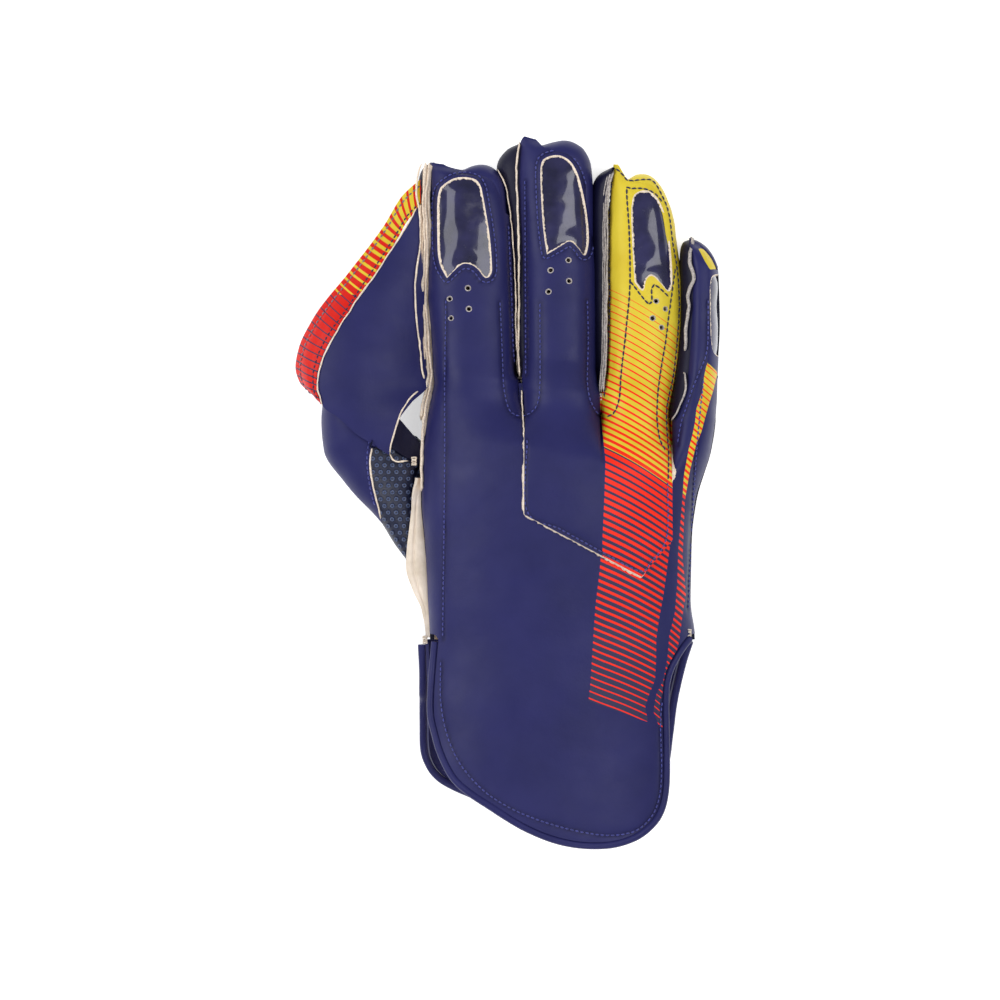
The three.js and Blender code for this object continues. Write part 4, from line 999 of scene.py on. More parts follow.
finishes = {
    "printed_leather": leather("printed_leather", NAVY, NAVY_DEEP, stripe=RED),
    # Painted shade: the binding's print takes the deeper red, a darker copy of the band's red
    "binding_print_painted_shade": leather("binding_print_painted_shade", NAVY, NAVY_DEEP, stripe=RED_PAINTED_SHADE),
    "navy_leather": leather("navy_leather", NAVY, NAVY_DEEP),
    # Painted shade: a darker copy of the navy leather for faces that turn down or away from the lamps
    "palm_leather_painted_shade": leather("palm_leather_painted_shade", NAVY_PALM_SHADE, NAVY_PALM_SHADE_DEEP),
    "yellow_leather": leather("yellow_leather", YELLOW, YELLOW_DEEP),
    "cut_edge": cut_edge("cut_edge", CREAM, CREAM_DARK),
    "grey_edge": cut_edge("grey_edge", EDGE_GREY, EDGE_GREY_DARK),
    "lining_cloth": lining_cloth(),
    "film_gloss": film_gloss(),
    "rubber": rubber(),
    "thread_blue": thread("thread_blue", THREAD_BLUE),
    "thread_dark": thread("thread_dark", THREAD_DARK),
    "thread_grey": thread("thread_grey", THREAD_GREY),
    "thread_cream": thread("thread_cream", CREAM),
}


# Pieces

# Looks of the inside and the cut edge of a lined piece, and the marks that the print reads
LINED = ["lining_cloth", "cut_edge"]
PRINT_MARKS = ["phase", "share", "upper", "band"]
EDGE_CREST = {"depth": 0.3, "lean": 0.75}
CLEAR_BENEATH = 0.8


def add_piece(name, points, faces, looks, kinds=None, marks=None, stands_for=(), crease=50):
    """A mesh piece of the glove, from millimetres of the frame's source."""
    mesh = bpy.data.meshes.new(name)
    mesh.from_pydata(((np.asarray(points) + ORIGIN) / 1000).tolist(), [], np.asarray(faces).tolist())
    for look in looks:
        mesh.materials.append(finishes[look])
    if kinds is not None:
        mesh.polygons.foreach_set("material_index", np.asarray(kinds, np.int32))
    for mark, values in (marks or {}).items():
        layer = mesh.attributes.new(mark, "FLOAT", "POINT")
        layer.data.foreach_set("value", np.asarray(values, np.float32))
    mesh.shade_smooth()
    mesh.set_sharp_from_angle(angle=math.radians(crease))
    mesh.validate()
    piece = bpy.data.objects.new(name, mesh)
    bpy.context.scene.collection.objects.link(piece)
    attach(piece, "root")
    if stands_for:
        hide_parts(*stands_for)
    return piece


def walled(sheet, thickness, spread=0.0, bare=False, hem=1.0):
    """Closed wall under a sheet: points, faces, kinds and marks.

    Its cut edge leans out by spread and is raw where bare. Its inside is finished like its outside where the
    distance to the hem is below 0.
    """
    normals, outward, n = sheet.normals(), sheet.outward(), len(sheet.points)
    spread, thickness = (np.broadcast_to(value, n) for value in (spread, thickness))
    rough = 1 + 0.6 * noise(sheet.points, 0.8, 7) + 0.25 * noise(sheet.points, 4, 8)
    lean = outward * (spread * rough)[:, None]
    depth = normals * thickness[:, None]
    upper = sheet.points - EDGE_CREST["depth"] * depth + EDGE_CREST["lean"] * lean
    lower = sheet.points - depth + lean
    points = np.vstack([sheet.points, lower, upper])
    a, b = sheet.border().T
    rim = np.vstack([
        np.column_stack([b, a, 2 * n + a]),
        np.column_stack([b, 2 * n + a, 2 * n + b]),
        np.column_stack([2 * n + b, 2 * n + a, n + a]),
        np.column_stack([2 * n + b, n + a, n + b]),
    ])
    faces = np.vstack([sheet.faces, sheet.faces[:, ::-1] + n, rim])
    bare, hem = (np.broadcast_to(value, n) for value in (bare, hem))
    edge_kinds = np.tile(np.where(bare[a], CUT, OUTSIDE), 4)
    inner_kinds = np.where(hem[sheet.faces].mean(1) < 0, OUTSIDE, INSIDE)
    kinds = np.concatenate([np.full(len(sheet.faces), OUTSIDE), inner_kinds, edge_kinds])
    used, faces = np.unique(faces, return_inverse=True)
    marks = {name: np.tile(values, 3)[used] for name, values in sheet.marks.items()}
    return points[used], faces.reshape(-1, 3), kinds, marks


def add_wall(name, sheet, thickness, looks, spread=0.0, bare=False, hem=1.0, beneath=None,
             stands_for=(), keep_marks=()):
    """Adds a sheet as a closed wall, kept beneath a ground where one is given."""
    points, faces, kinds, marks = walled(sheet, thickness, spread, bare, hem)
    if beneath is not None:
        spots, _, hit = beneath.under(points[:, :2])
        points[hit, 2] = np.minimum(points[hit, 2], spots[hit, 2] - CLEAR_BENEATH)
    kept = {mark: marks[mark] for mark in keep_marks}
    return add_piece(name, points, faces, looks, kinds, kept, stands_for)


class Ground:
    """A finished surface that small pieces are laid on from above."""

    def __init__(self, *sheets):
        self.tree = joined(*sheets).tree()

    def under(self, places, start=200):
        """Points and normals of the surface straight below flat places, and which of them lie on it."""
        points, normals, hit = np.zeros((len(places), 3)), np.zeros((len(places), 3)), []
        for i, (x, y) in enumerate(places):
            place, normal, *_ = self.tree.ray_cast(Vector((x, y, start)), Vector((0, 0, -1)))
            hit.append(place is not None)
            if place is not None:
                points[i], normals[i] = place, normal * (1 if normal.z > 0 else -1)
        return points, normals, np.array(hit)

    def heights(self, places):
        """Heights of the surface below flat places, bridged over the places that miss it."""
        points, _, hit = self.under(places)
        steps = np.arange(len(places))
        return np.interp(steps, steps[hit], points[hit, 2])


def circle(sides):
    """Cosines and sines of even steps round a circle."""
    angles = np.arange(sides) * 2 * math.pi / sides
    return np.cos(angles)[:, None], np.sin(angles)[:, None]


def plane_across(up, hint):
    """Two directions square to up and to each other."""
    side = unit(np.cross(up, hint))
    return side, np.cross(up, side)


def tube_faces(rings, sides, first_end=True, last_end=True):
    """Triangles over rings of points that follow each other, and over the ends."""
    faces = []
    for i in range(rings - 1):
        for j in range(sides):
            a, b = i * sides + j, i * sides + (j + 1) % sides
            faces += [(a, b, b + sides), (a, b + sides, a + sides)]
    last = (rings - 1) * sides
    if first_end:
        faces += [(0, j + 1, j) for j in range(1, sides - 1)]
    if last_end:
        faces += [(last, last + j, last + j + 1) for j in range(1, sides - 1)]
    return np.array(faces)


def repeated(faces, count, size):
    """The same triangles for each of count pieces of size points."""
    return (faces[None] + np.arange(count)[:, None, None] * size).reshape(-1, 3)


STITCH_PITCH = 2.3
STITCH_LENGTH = 1.7
STITCH_RADIUS = 0.36
HEAVY_STITCH = {"pitch": 2.7, "length": 2.45, "radius": 0.42}


def stitch_mesh(heads, tails, normals, radius, sides=6, rings=5):
    """Short rounded threads from heads to tails whose ends dip into the leather."""
    share = np.linspace(0, 1, rings)
    swell = np.sin(math.pi * lerp(0.08, 0.92, share)) ** 0.6
    along = tails - heads
    across = unit(np.cross(normals, along))
    cos, sin = circle(sides)
    lift = radius * (1.5 * swell - 0.9)
    centre = heads[:, None] + share[None, :, None] * along[:, None] + lift[None, :, None] * normals[:, None]
    ring = cos * across[:, None, None] + sin * normals[:, None, None]
    points = centre[:, :, None] + ring * (radius * swell)[None, :, None, None]
    return points.reshape(-1, 3), repeated(tube_faces(rings, sides), len(heads), rings * sides)


def add_stitches(name, lines, ground, look, pitch=STITCH_PITCH, length=STITCH_LENGTH, radius=STITCH_RADIUS):
    """Rows of stitches along lines of flat millimetre points, on the ground below them."""
    rows = []
    for line in lines:
        steps = smooth_line(line, pitch / 4)
        steps = steps[: len(steps) - len(steps) % 4]
        start, end = steps[::4], steps[::4] + (steps[3::4] - steps[::4]) * length / (0.75 * pitch)
        a, normal_a, hit_a = ground.under(start)
        b, normal_b, hit_b = ground.under(end)
        near = hit_a & hit_b & (np.abs(a[:, 2] - b[:, 2]) < 1.2 * length)
        rows.append((a[near], b[near], (normal_a + normal_b)[near]))
    heads, tails, ups = (np.vstack(column) for column in zip(*rows))
    points, faces = stitch_mesh(heads, tails, unit(ups), radius)
    return add_piece(name, points, faces, [look], crease=80)


def add_tube(name, line, radius, look, sides=14, stands_for=()):
    """Round cord along a line of points, with flat ends."""
    along = unit(np.gradient(line, axis=0))
    across = unit(np.cross(along, [0, 0, 1]))
    up = np.cross(across, along)
    cos, sin = circle(sides)
    ring = cos * across[:, None] + sin * up[:, None]
    points = line[:, None] + ring * np.broadcast_to(radius, len(line))[:, None, None]
    faces = tube_faces(len(line), sides)[:, ::-1]
    return add_piece(name, points.reshape(-1, 3), faces, [look], stands_for=stands_for, crease=80)


# Print marks

PRINT_EDGE = 608
PRINT_BEND = {"row": [300, 470, 560, 700], "bend": [1, 1.04, 0.98, 0.8]}
PRINT_RED = {
    "level": [280, 285, 300, 350, 387, 420, 438, 446, 452, 490, 525, 560, 600, 650, 700],
    "share": [-0.1, 0.08, 0.14, 0.23, 0.31, 0.4, 0.47, 0.62, 0.68, 0.61, 0.52, 0.45, 0.4, 0.29, 0.19],
}
STRIPES_UP = {"level": [217.5, 401.3, 452.7], "count": [-34, -8, 0]}
STRIPE_DOWN = 7.1
PANEL_SHIFT = 0.57
COLOUR_CHANGE = 449
SIDE_RED = {
    "level": [300, 372, 420, 500, 560, 640, 700, 730],
    "share": [0.15, 0.22, 0.34, 0.5, 0.45, 0.4, 0.26, 0.18],
}
SIDE_EDGE = 700
SIDE_SLOPE = 0.85
SIDE_PITCH = 6.9
SIDE_CHANGE = 508


def read(table, places):
    """A table's second column at places along its first."""
    return np.interp(places, *table.values())


def band_marks(points, shift=0.0):
    """Marks of the striped print on the ring finger's strip: stripe count, red share, side of its change."""
    px, py = to_photo(points)
    u = px - PRINT_EDGE
    level = py - read(PRINT_BEND, py) * (0.45 * u + 0.0022 * u * np.abs(u))
    top = STRIPES_UP["level"][-1]
    phase = np.where(level < top, read(STRIPES_UP, level), (level - top) / STRIPE_DOWN - shift)
    return phase, read(PRINT_RED, level), (COLOUR_CHANGE - level) * PIXEL_WIDTH


def side_marks(points):
    """Marks of the narrow striped print towards the little finger."""
    px, py = to_photo(points)
    level = py - SIDE_SLOPE * (px - SIDE_EDGE)
    return level / SIDE_PITCH, read(SIDE_RED, level), (SIDE_CHANGE - level) * PIXEL_WIDTH


def print_on_back(sheet):
    """Marks the broad band, the narrow one and the little finger's yellow corner, which has no stripes."""
    outline = BAND_LEFT + BAND_RIGHT + [(672, 535), (672, 420), (600, 396)]
    outlines = (outline, SIDE_BAND, LITTLE_CORNER)
    band, side, corner = (inside_distance(sheet.points, from_photo(line)) for line in outlines)
    broad, narrow = band_marks(sheet.points, PANEL_SHIFT), side_marks(sheet.points)
    phase, share, upper = (np.where(side > -2, b, a) for a, b in zip(broad, narrow))
    share = np.where(corner > -1.5, -1, share)
    upper = np.where(corner > -1.5, 5, upper)
    sheet.marks |= zip(PRINT_MARKS, (phase, share, upper, np.maximum(np.maximum(band, side), corner)))


def print_on_overlay(sheet):
    """Marks the broad band where it runs on over the yellow leather."""
    outline = BAND_LEFT[:5] + [(602, 600), (800, 600), (800, 60), (602, 60), (600.5, 380)]
    band = inside_distance(sheet.points, from_photo(outline))
    sheet.marks |= zip(PRINT_MARKS, (*band_marks(sheet.points), band))


# Back panel and finger overlay

STEP = 1.35
COLUMNS = {0: 46, 1: 38, 2: 34, 3: 30}
WINDOW_LEAN = 0.6
WINDOW_RIM = 0.9
EDGE_LEAN = 0.4
AT_EDGE = 0.3
WINDOW_SEAM = 2.1
UNDER_OVERLAY = 14
TAIL_SIDE = 0.75
TAIL_ARM = 0.43
TAIL_TOP = 0.58

window_outlines = {
    name: softened(millimetres(outline), {WEDGE_CORNERS[name]} if name != "little" else ())
    for name, outline in WINDOWS.items()
}
vent_places = {name: millimetres(places) for name, places in VENTS.items()}


def around(outline):
    """Closed line that runs outside a window, where its seam is."""
    heading = unit(np.roll(outline, -1, axis=0) - np.roll(outline, 1, axis=0))
    line = outline + WINDOW_SEAM * np.column_stack([-heading[:, 1], heading[:, 0]])
    return np.vstack([line, line[:1]])


def seam_lines(lines):
    """Seams of the photograph as smooth lines on the glove."""
    return [smooth_line(from_photo(line), 2) for line in lines.values()]


seams_on_back = seam_lines(STITCHED_ON_BACK) + [around(window_outlines["index"])]
seams_on_overlay = seam_lines(STITCHED_ON_OVERLAY) + [around(window_outlines["middle"])]
seams_on_yellow = seam_lines(STITCHED_ON_YELLOW)


def flap_inset(points, outline, inwards):
    """How far points lie inside a cuff flap's rim, with everything beyond the wrist inside."""
    rim = smooth_line(millimetres(outline), 3)
    right, far = 2 * BODY_WIDTH, 2 * GLOVE_LENGTH
    beyond = [[right, rim[-1][1]], [right, far], [-BODY_WIDTH, far], [-BODY_WIDTH, rim[0][1]]]
    return inside_distance(points, np.vstack([rim, beyond])) - inwards


def open_windows(sheet, names):
    """Cuts the windows and the vent holes, over finer triangles, and marks how near their edges are."""
    for rounds in (2.2, 1.1):
        near = np.zeros(len(sheet.points), bool)
        for name in names:
            near |= np.abs(inside_distance(sheet.points, window_outlines[name])) < rounds
            for place in vent_places.get(name, ()):
                gap = np.linalg.norm(sheet.points[:, :2] - place, axis=1)
                near |= np.abs(gap - VENT_RADIUS) < rounds
        sheet = sheet.refined(near)
    sheet.marks["edge"] = np.full(len(sheet.points), 99.0)
    for name in names:
        distance = -inside_distance(sheet.points, window_outlines[name])
        sheet.marks["edge"] = np.minimum(sheet.marks["edge"], np.abs(distance))
        sheet = sheet.clipped(distance)
        for place in vent_places.get(name, ()):
            sheet = sheet.clipped(np.linalg.norm(sheet.points[:, :2] - place, axis=1) - VENT_RADIUS)
    return sheet


def without_tip(sheet, name):
    """The back's leather without the part past its seam with the fingertip's cap."""
    return sheet.clipped(-inside_distance(sheet.points, smooth_line(from_photo(CUT_TIPS[name]), 1.0)))


def back_sheet():
    """Leather of the index finger, the hand, the little finger and the cuff, cut back under the overlay."""
    parts = []
    for s in STRIPS:
        pieces = ["cuff", "hand"] if FINGERS[s]["overlay"] else ["cuff", "hand", "finger"]
        parts += [strip_sheet(back_point, s, piece, STEP, COLUMNS[s]) for piece in pieces]
    sheet = joined(*parts).merged()
    sheet = sheet.clipped(UNDER_OVERLAY - inside_distance(sheet.points, millimetres(OVERLAY)))
    # The nearness to stitch lines is kept as a mark for painted shade in the channels
    channels, sheet.marks["sewn"] = sewn_relief(sheet.points, seams_on_back)
    sheet = without_tip(sheet.moved(relief(sheet.points) + channels), "index")
    return sheet.clipped(flap_inset(sheet.points, BACK_FLAP, 2 * RIM_RADIUS - GAP))


def overlay_sheet():
    """Second layer of leather, raised straight up over the hand and square to the surface on the fingers."""
    parts = [strip_sheet(back_point, s, "hand", STEP, COLUMNS[s], first=0.2) for s in STRIPS]
    covered = [s for s in STRIPS if FINGERS[s]["overlay"]]
    parts += [strip_sheet(back_point, s, "finger", STEP, COLUMNS[s]) for s in covered]
    sheet = joined(*parts).merged()
    on_finger = smoothstep(sheet.points[:, 1] / GLOVE_LENGTH, 0.6, 0.66)[:, None]
    sheet.points += (GAP + LEATHER) * unit(lerp(np.array([0.0, 0.0, 1.0]), sheet.normals(), on_finger))
    outline = millimetres(OVERLAY)
    sheet = sheet.clipped(inside_distance(sheet.points, outline) + 4)
    # The nearness to stitch lines is kept as a mark for painted shade in the channels
    channels, sewn = sewn_relief(sheet.points, seams_on_overlay + seams_on_yellow)
    sheet.marks["sewn"] = sewn * (sheet.marks["strip"] < 1.5)
    sheet = sheet.moved(relief(sheet.points) + channels)
    sheet = sheet.refined(np.abs(inside_distance(sheet.points, outline)) < 1.6)
    sheet = sheet.clipped(inside_distance(sheet.points, outline))
    return without_tip(without_tip(sheet, "middle"), "ring")


def skived(sheet):
    """Leather's thickness, less round the windows where the film is stitched in."""
    return lerp(WINDOW_RIM, LEATHER, smoothstep(sheet.marks["edge"], 2.5, 5))


def add_back_leather():
    """The back with its two windows, its vent holes and its print."""
    sheet = open_windows(back_sheet(), ["index", "little"])
    print_on_back(sheet)
    raw = sheet.marks["edge"] < AT_EDGE
    add_wall(
        "back_leather", sheet, skived(sheet), ["printed_leather", *LINED],
        spread=WINDOW_LEAN * raw, bare=raw, stands_for=["back_panel"], keep_marks=[*PRINT_MARKS, "sewn"],
    )
    return sheet


def add_overlay_leather():
    """The layer over the middle and ring finger, raw at its windows and along the tail's left edge."""
    sheet = open_windows(overlay_sheet(), ["middle", "ring"])
    print_on_overlay(sheet)
    across, along = sheet.points[:, 0] / BODY_WIDTH, sheet.points[:, 1] / GLOVE_LENGTH
    tail_edge = np.abs(inside_distance(sheet.points, millimetres(OVERLAY))) < AT_EDGE
    tail_edge &= ((across < TAIL_SIDE) | (along > TAIL_ARM)) & (along < TAIL_TOP)
    lean = np.where(sheet.marks["edge"] < AT_EDGE, WINDOW_LEAN, EDGE_LEAN * tail_edge)
    add_wall(
        "overlay_leather", sheet, skived(sheet), ["printed_leather", *LINED],
        spread=lean, bare=lean > 0, stands_for=["finger_overlay"], keep_marks=[*PRINT_MARKS, "sewn"],
    )
    return sheet


back = add_back_leather()
overlay = add_overlay_leather()
top_ground = Ground(back, overlay)

# Section of a vent hole's rim: distance outside the hole and height
VENT_SECTION = [(-0.15, -1.4), (-0.05, 0.05), (0.12, 0.16), (0.42, 0.02), (0.45, -0.3)]
VENT_REACH = 1.8


def add_vent_rims():
    """Thin ragged rims pressed round the vent holes."""
    sides, count = 20, len(VENT_SECTION)
    cos, sin = circle(sides)
    rings = []
    for place in np.vstack(list(vent_places.values())):
        spots, normals, hit = top_ground.under(place + VENT_REACH * np.hstack([cos, sin]))
        centre, up = spots[hit].mean(0), unit(normals[hit].mean(0))
        side, forward = plane_across(up, [0, 1, 0])
        ragged = 0.07 * noise(np.hstack([9 * cos, 9 * sin, 0 * cos + place[0]]), 5)[:, None]
        for out, lift in VENT_SECTION:
            rings.append(centre + (VENT_RADIUS + out + ragged) * (cos * side + sin * forward) + lift * up)
    faces = repeated(tube_faces(count, sides, False, False), len(rings) // count, count * sides)
    return add_piece("vent_rims", np.vstack(rings), faces, ["grey_edge"])


add_vent_rims()


FILM_HEM = 3.2


def add_window_film(s):
    """Glossy film that bulges a little behind a fingertip's window."""
    name = FINGERS[s]["name"]
    sheet = strip_sheet(back_point, s, "finger", 1.0, 40)
    distance = inside_distance(sheet.points, window_outlines[name])
    outer = GAP + LEATHER if FINGERS[s]["overlay"] else 0
    buckle = 0.4 * noise(sheet.points[:, :2], 11, 11 + s) * smoothstep(distance, 0, 4)
    bulge = 0.5 * smoothstep(distance, 1, 8) + buckle
    sheet = sheet.moved(outer - WINDOW_RIM - GAP / 2 + relief(sheet.points) + bulge)
    sheet = sheet.clipped(distance + FILM_HEM)
    add_wall(f"{name}_film", sheet, FILM, ["film_gloss"] * 3, stands_for=[f"{name}_window"])


for s in STRIPS:
    add_window_film(s)


CAP_LEATHER = 1.2
CAP_COLUMNS = 60
CAP_FLOOR = 5.0
CAP_TURN_IN = 5


def add_cap(name, lines, look):
    """Rounded leather that rolls from under the back's edge out to a contour and down under the finger."""
    edge, contour = (
        picked(smooth_line(from_photo(lines[part]), 0.4), CAP_COLUMNS) for part in ("edge", "contour")
    )
    edge_z = top_ground.heights(edge) - lines["sunk"]
    contour_z = lerp(edge_z, CAP_FLOOR, 0.42)
    inward = (edge - contour) / np.maximum(np.linalg.norm(edge - contour, axis=1, keepdims=True), 1.5)
    angles = np.linspace(0, math.pi / 2, 13)
    rows = []
    for t in angles:
        over = lerp(edge, contour, math.sin(t))
        rows.append(np.column_stack([over, lerp(contour_z, edge_z, math.cos(t))]))
    for t in angles[1:]:
        under = contour + inward * CAP_TURN_IN * (1 - math.cos(t))
        rows.append(np.column_stack([under, lerp(contour_z, CAP_FLOOR, math.sin(t))]))
    sheet = grid_sheet(np.stack(rows)).merged()
    if sheet.normals()[:, 2].sum() < 0:
        sheet = turned_over(sheet)
    sheet = sheet.moved(0.15 * noise(sheet.points, 8, 50))
    add_wall(name, sheet, CAP_LEATHER, [look] * 3)
    return sheet


caps = {}
for tip, lines in TIP_CAPS.items():
    cap_look = "yellow_leather" if tip == "ring" else "navy_leather"
    caps[tip] = add_cap(f"{tip}_cap", lines, cap_look)
# The side lobes take the darker palm finish, as painted shade
for tip, lines in SIDE_LOBES.items():
    add_cap(f"{tip}_side", lines, "palm_leather_painted_shade")


# Palm side

def add_finger_shell(s):
    """Lower half of a finger's stall, with its round tip."""
    name = FINGERS[s]["name"]
    # Painted shade: the stalls under the fingers, apart from the ring's, take the darker palm finish
    look, slot = ("yellow_leather", "yellow_leather") if name == "ring" else ("palm_leather_painted_shade", "navy_leather")
    sheet = turned_over(strip_sheet(palm_point, s, "finger", 1.6, 44)).merged()
    sheet = sheet.moved(0.12 * noise(sheet.points, 9, 12))
    add_wall(
        f"{name}_stall", sheet, LEATHER, [look, *LINED], beneath=top_ground,
        stands_for=[f"{name}_shell"],
    )


for s in STRIPS:
    add_finger_shell(s)

HEM = 8.5


def palm_sheet(part, step, columns):
    """The palm side of all four strips, facing down."""
    parts = [strip_sheet(palm_point, s, part, step, columns) for s in STRIPS]
    return turned_over(joined(*parts).merged())


def add_palm_leather():
    """Leather of the palm between wrist and knuckles."""
    sheet = palm_sheet("hand", 2.2, 20)
    sheet = sheet.moved(0.25 * noise(sheet.points, 16, 13))
    # Painted shade: the palm's outside takes the darker palm finish
    add_wall(
        "palm_leather_painted_shade", sheet, LEATHER, ["palm_leather_painted_shade", *LINED], beneath=top_ground,
        stands_for=["palm_shell"],
    )


def add_palm_flap():
    """Lower flap of the cuff, whose leather turns in over a hem along its rim."""
    sheet = palm_sheet("cuff", 2.0, 22)
    sheet = sheet.moved(0.3 * noise(sheet.points, 18, 14))
    sheet = sheet.clipped(flap_inset(sheet.points, PALM_FLAP, 2 * RIM_RADIUS - GAP))
    sheet = sheet.split(flap_inset(sheet.points, PALM_FLAP, HEM))
    add_wall(
        "palm_flap_leather", sheet, LEATHER, ["navy_leather", *LINED],
        hem=flap_inset(sheet.points, PALM_FLAP, HEM), stands_for=["palm_flap"],
    )


add_palm_leather()
add_palm_flap()


PIMPLE_PITCH = 3.3
THUMB_PITCH = 3.5
PIMPLE_RADIUS = 1.2
PIMPLE_HEIGHT = 0.6
TABLE = 0.02 - ORIGIN[2]
PALM_DOTS = [(0, 90), (BODY_WIDTH, 305)]
THUMB_DOTS = [(330, 600), (424, 360)]
UNDERSIDE = 5

# Section of a pimple: shares of its radius and height, and the strength of the painted highlight on its top
# rim
PIMPLE_SECTION = [(1.0, -0.15, 0), (0.9, 0.65, 0.1), (0.72, 1.0, 0.9), (0.5, 0.95, 0.5), (0.28, 0.75, 0.0)]


def pimples(tree, places):
    """Dished pimples at places on a surface: points, faces and how strong the painted highlight is at each
    point.
    """
    sides, count = 10, len(PIMPLE_SECTION)
    cos, sin = circle(sides)
    rings = []
    for place in places:
        near, normal, *_ = tree.find_nearest(Vector(place))
        up = np.array(normal)
        side, forward = plane_across(up, [0.31, 0.95, 0.05])
        for radius, lift, _ in PIMPLE_SECTION:
            ring = cos * side + sin * forward
            rings.append(np.array(near) + PIMPLE_RADIUS * radius * ring + PIMPLE_HEIGHT * lift * up)
    faces = repeated(tube_faces(count, sides, first_end=False), len(places), count * sides)
    pimple_highlight = np.tile(np.repeat([bright for *_, bright in PIMPLE_SECTION], sides), len(places))
    return np.vstack(rings), faces, pimple_highlight


def add_rubber(name, sheet, thickness, places, stands_for):
    """Rubber facing with a pimple at each place, none of them below the table."""
    points, faces, *_ = walled(sheet, thickness)
    dots, dot_faces, pimple_highlight = pimples(sheet.tree(), places)
    dots[:, 2] = np.maximum(dots[:, 2], TABLE)
    # Mark for the painted highlight on the pimples' rims, 0 on the facing itself
    marks = {"pimple_highlight": np.concatenate([np.zeros(len(points)), pimple_highlight])}
    points, faces = np.vstack([points, dots]), np.vstack([faces, dot_faces + len(points)])
    add_piece(name, points, faces, ["rubber"], marks=marks, stands_for=stands_for)


def hexagon_places(low, high, pitch):
    """Flat places in staggered rows over a box."""
    rows = np.arange(low[1], high[1], pitch * math.sin(math.pi / 3))
    starts = [low[0] + (i % 2) * pitch / 2 for i in range(len(rows))]
    return [(x, y) for start, y in zip(starts, rows) for x in np.arange(start, high[0], pitch)]


def straight_places(tree, low, high, pitch, heading):
    """Places in staggered rows where straight lines up or down meet a surface first."""
    places = []
    for x, y in hexagon_places(low, high, pitch):
        spot, *_ = tree.ray_cast(Vector((x, y, -150 * heading)), Vector((0, 0, heading)))
        if spot is not None:
            places.append(spot)
    return places


def add_palm_rubber():
    """Pimpled facing under the palm and each finger."""
    parts = []
    for s in STRIPS:
        parts.append(strip_sheet(palm_point, s, "hand", 2.4, 20, first=0.12))
        parts.append(strip_sheet(palm_point, s, "finger", 2.4, 20))
    sheet = turned_over(joined(*parts).merged())
    sheet = sheet.clipped(np.minimum(-0.72 - sheet.normals()[:, 2], 0.1 * (9 - sheet.points[:, 2])))
    sheet = sheet.moved(GAP + RUBBER)
    sheet.points[:, 2] = np.maximum(sheet.points[:, 2], TABLE + PIMPLE_HEIGHT)
    places = straight_places(sheet.tree(), *PALM_DOTS, PIMPLE_PITCH, 1)
    places = [spot for spot in places if spot.z < UNDERSIDE]
    add_rubber("palm_facing", sheet, RUBBER, places, ["palm_rubber"])


add_palm_rubber()


# Thumb stall

SEAM_CLEARANCE = 0.2
THUMB_START = 0.2
thumb_row = row_curves(THUMB)


def thumb_point(row, angle):
    """Point round the thumb stall: row along it, angle from its right side over its top."""
    heading = np.radians(thumb_row["heading"](row))
    half = thumb_row["half"](row) * BODY_WIDTH
    low, high = (thumb_row[name](row) * HAND_DEPTH for name in ("low", "high"))
    x = thumb_row["across"](row) * BODY_WIDTH + half * np.cos(angle) * np.sin(heading)
    y = thumb_row["along"](row) * GLOVE_LENGTH - half * np.cos(angle) * np.cos(heading)
    z = (low + high) / 2 + (high - low) / 2 * np.sin(angle) + RUBBER + GAP
    return np.stack([x, y, z + 0 * x], -1)


def thumb_sheet():
    """The thumb's stall all round, from where it leaves the hand to its tip."""
    rows = np.linspace(THUMB_START, len(THUMB["half"]) - 1, 110)[:, None]
    angles = np.linspace(-math.pi / 2, 1.5 * math.pi, 97)[None, :]
    sheet = turned_over(grid_sheet(thumb_point(rows, angles))).merged()
    sheet = sheet.moved(0.35 * noise(sheet.points, 14, 15) + 0.12 * noise(sheet.points, 6, 16))
    inner_x = edges_at(0, sheet.points[:, 1] / GLOVE_LENGTH)[0] * BODY_WIDTH
    return sheet.clipped(inner_x + 0.5 - sheet.points[:, 0])


def add_thumb():
    """Leather on the left of the seam that the photograph shows, pimpled rubber on its right."""
    sheet = thumb_sheet()
    seam = smooth_line(from_photo(THUMB_SEAM), 1.5)
    outline = np.vstack([seam, from_photo([(390, 580), (250, 580), (250, 350)])])
    leather_side = inside_distance(sheet.points, outline)
    add_wall(
        "thumb_leather", sheet.clipped(leather_side), LEATHER, ["navy_leather", *LINED],
        stands_for=["thumb_back"],
    )
    facing = sheet.clipped(-leather_side - SEAM_CLEARANCE)
    tree, box = facing.tree(), from_photo(THUMB_DOTS)
    places = [spot for heading in (-1, 1) for spot in straight_places(tree, *box, THUMB_PITCH, heading)]
    add_rubber("thumb_facing", facing, LEATHER, places, ["thumb_front"])
    return sheet


thumb = add_thumb()


# Web and its binding

BARE_ROWS = 8.6
BINDING_COLUMNS = 19
BINDING_RED = {"row": [180, 240, 292, 296, 350, 400], "share": [0.3, 0.5, 0.78, 0.86, 0.84, 0.76]}
BINDING_STRIPES = {"to": [0, 95, 120, 145], "pitch": [3.6, 3.2, 2.4]}
BINDING_CHANGE = 294
BINDING_SEAMS = [0.22, 0.8]
web_row = row_curves(WEB)
binding_row = row_curves(BINDING)


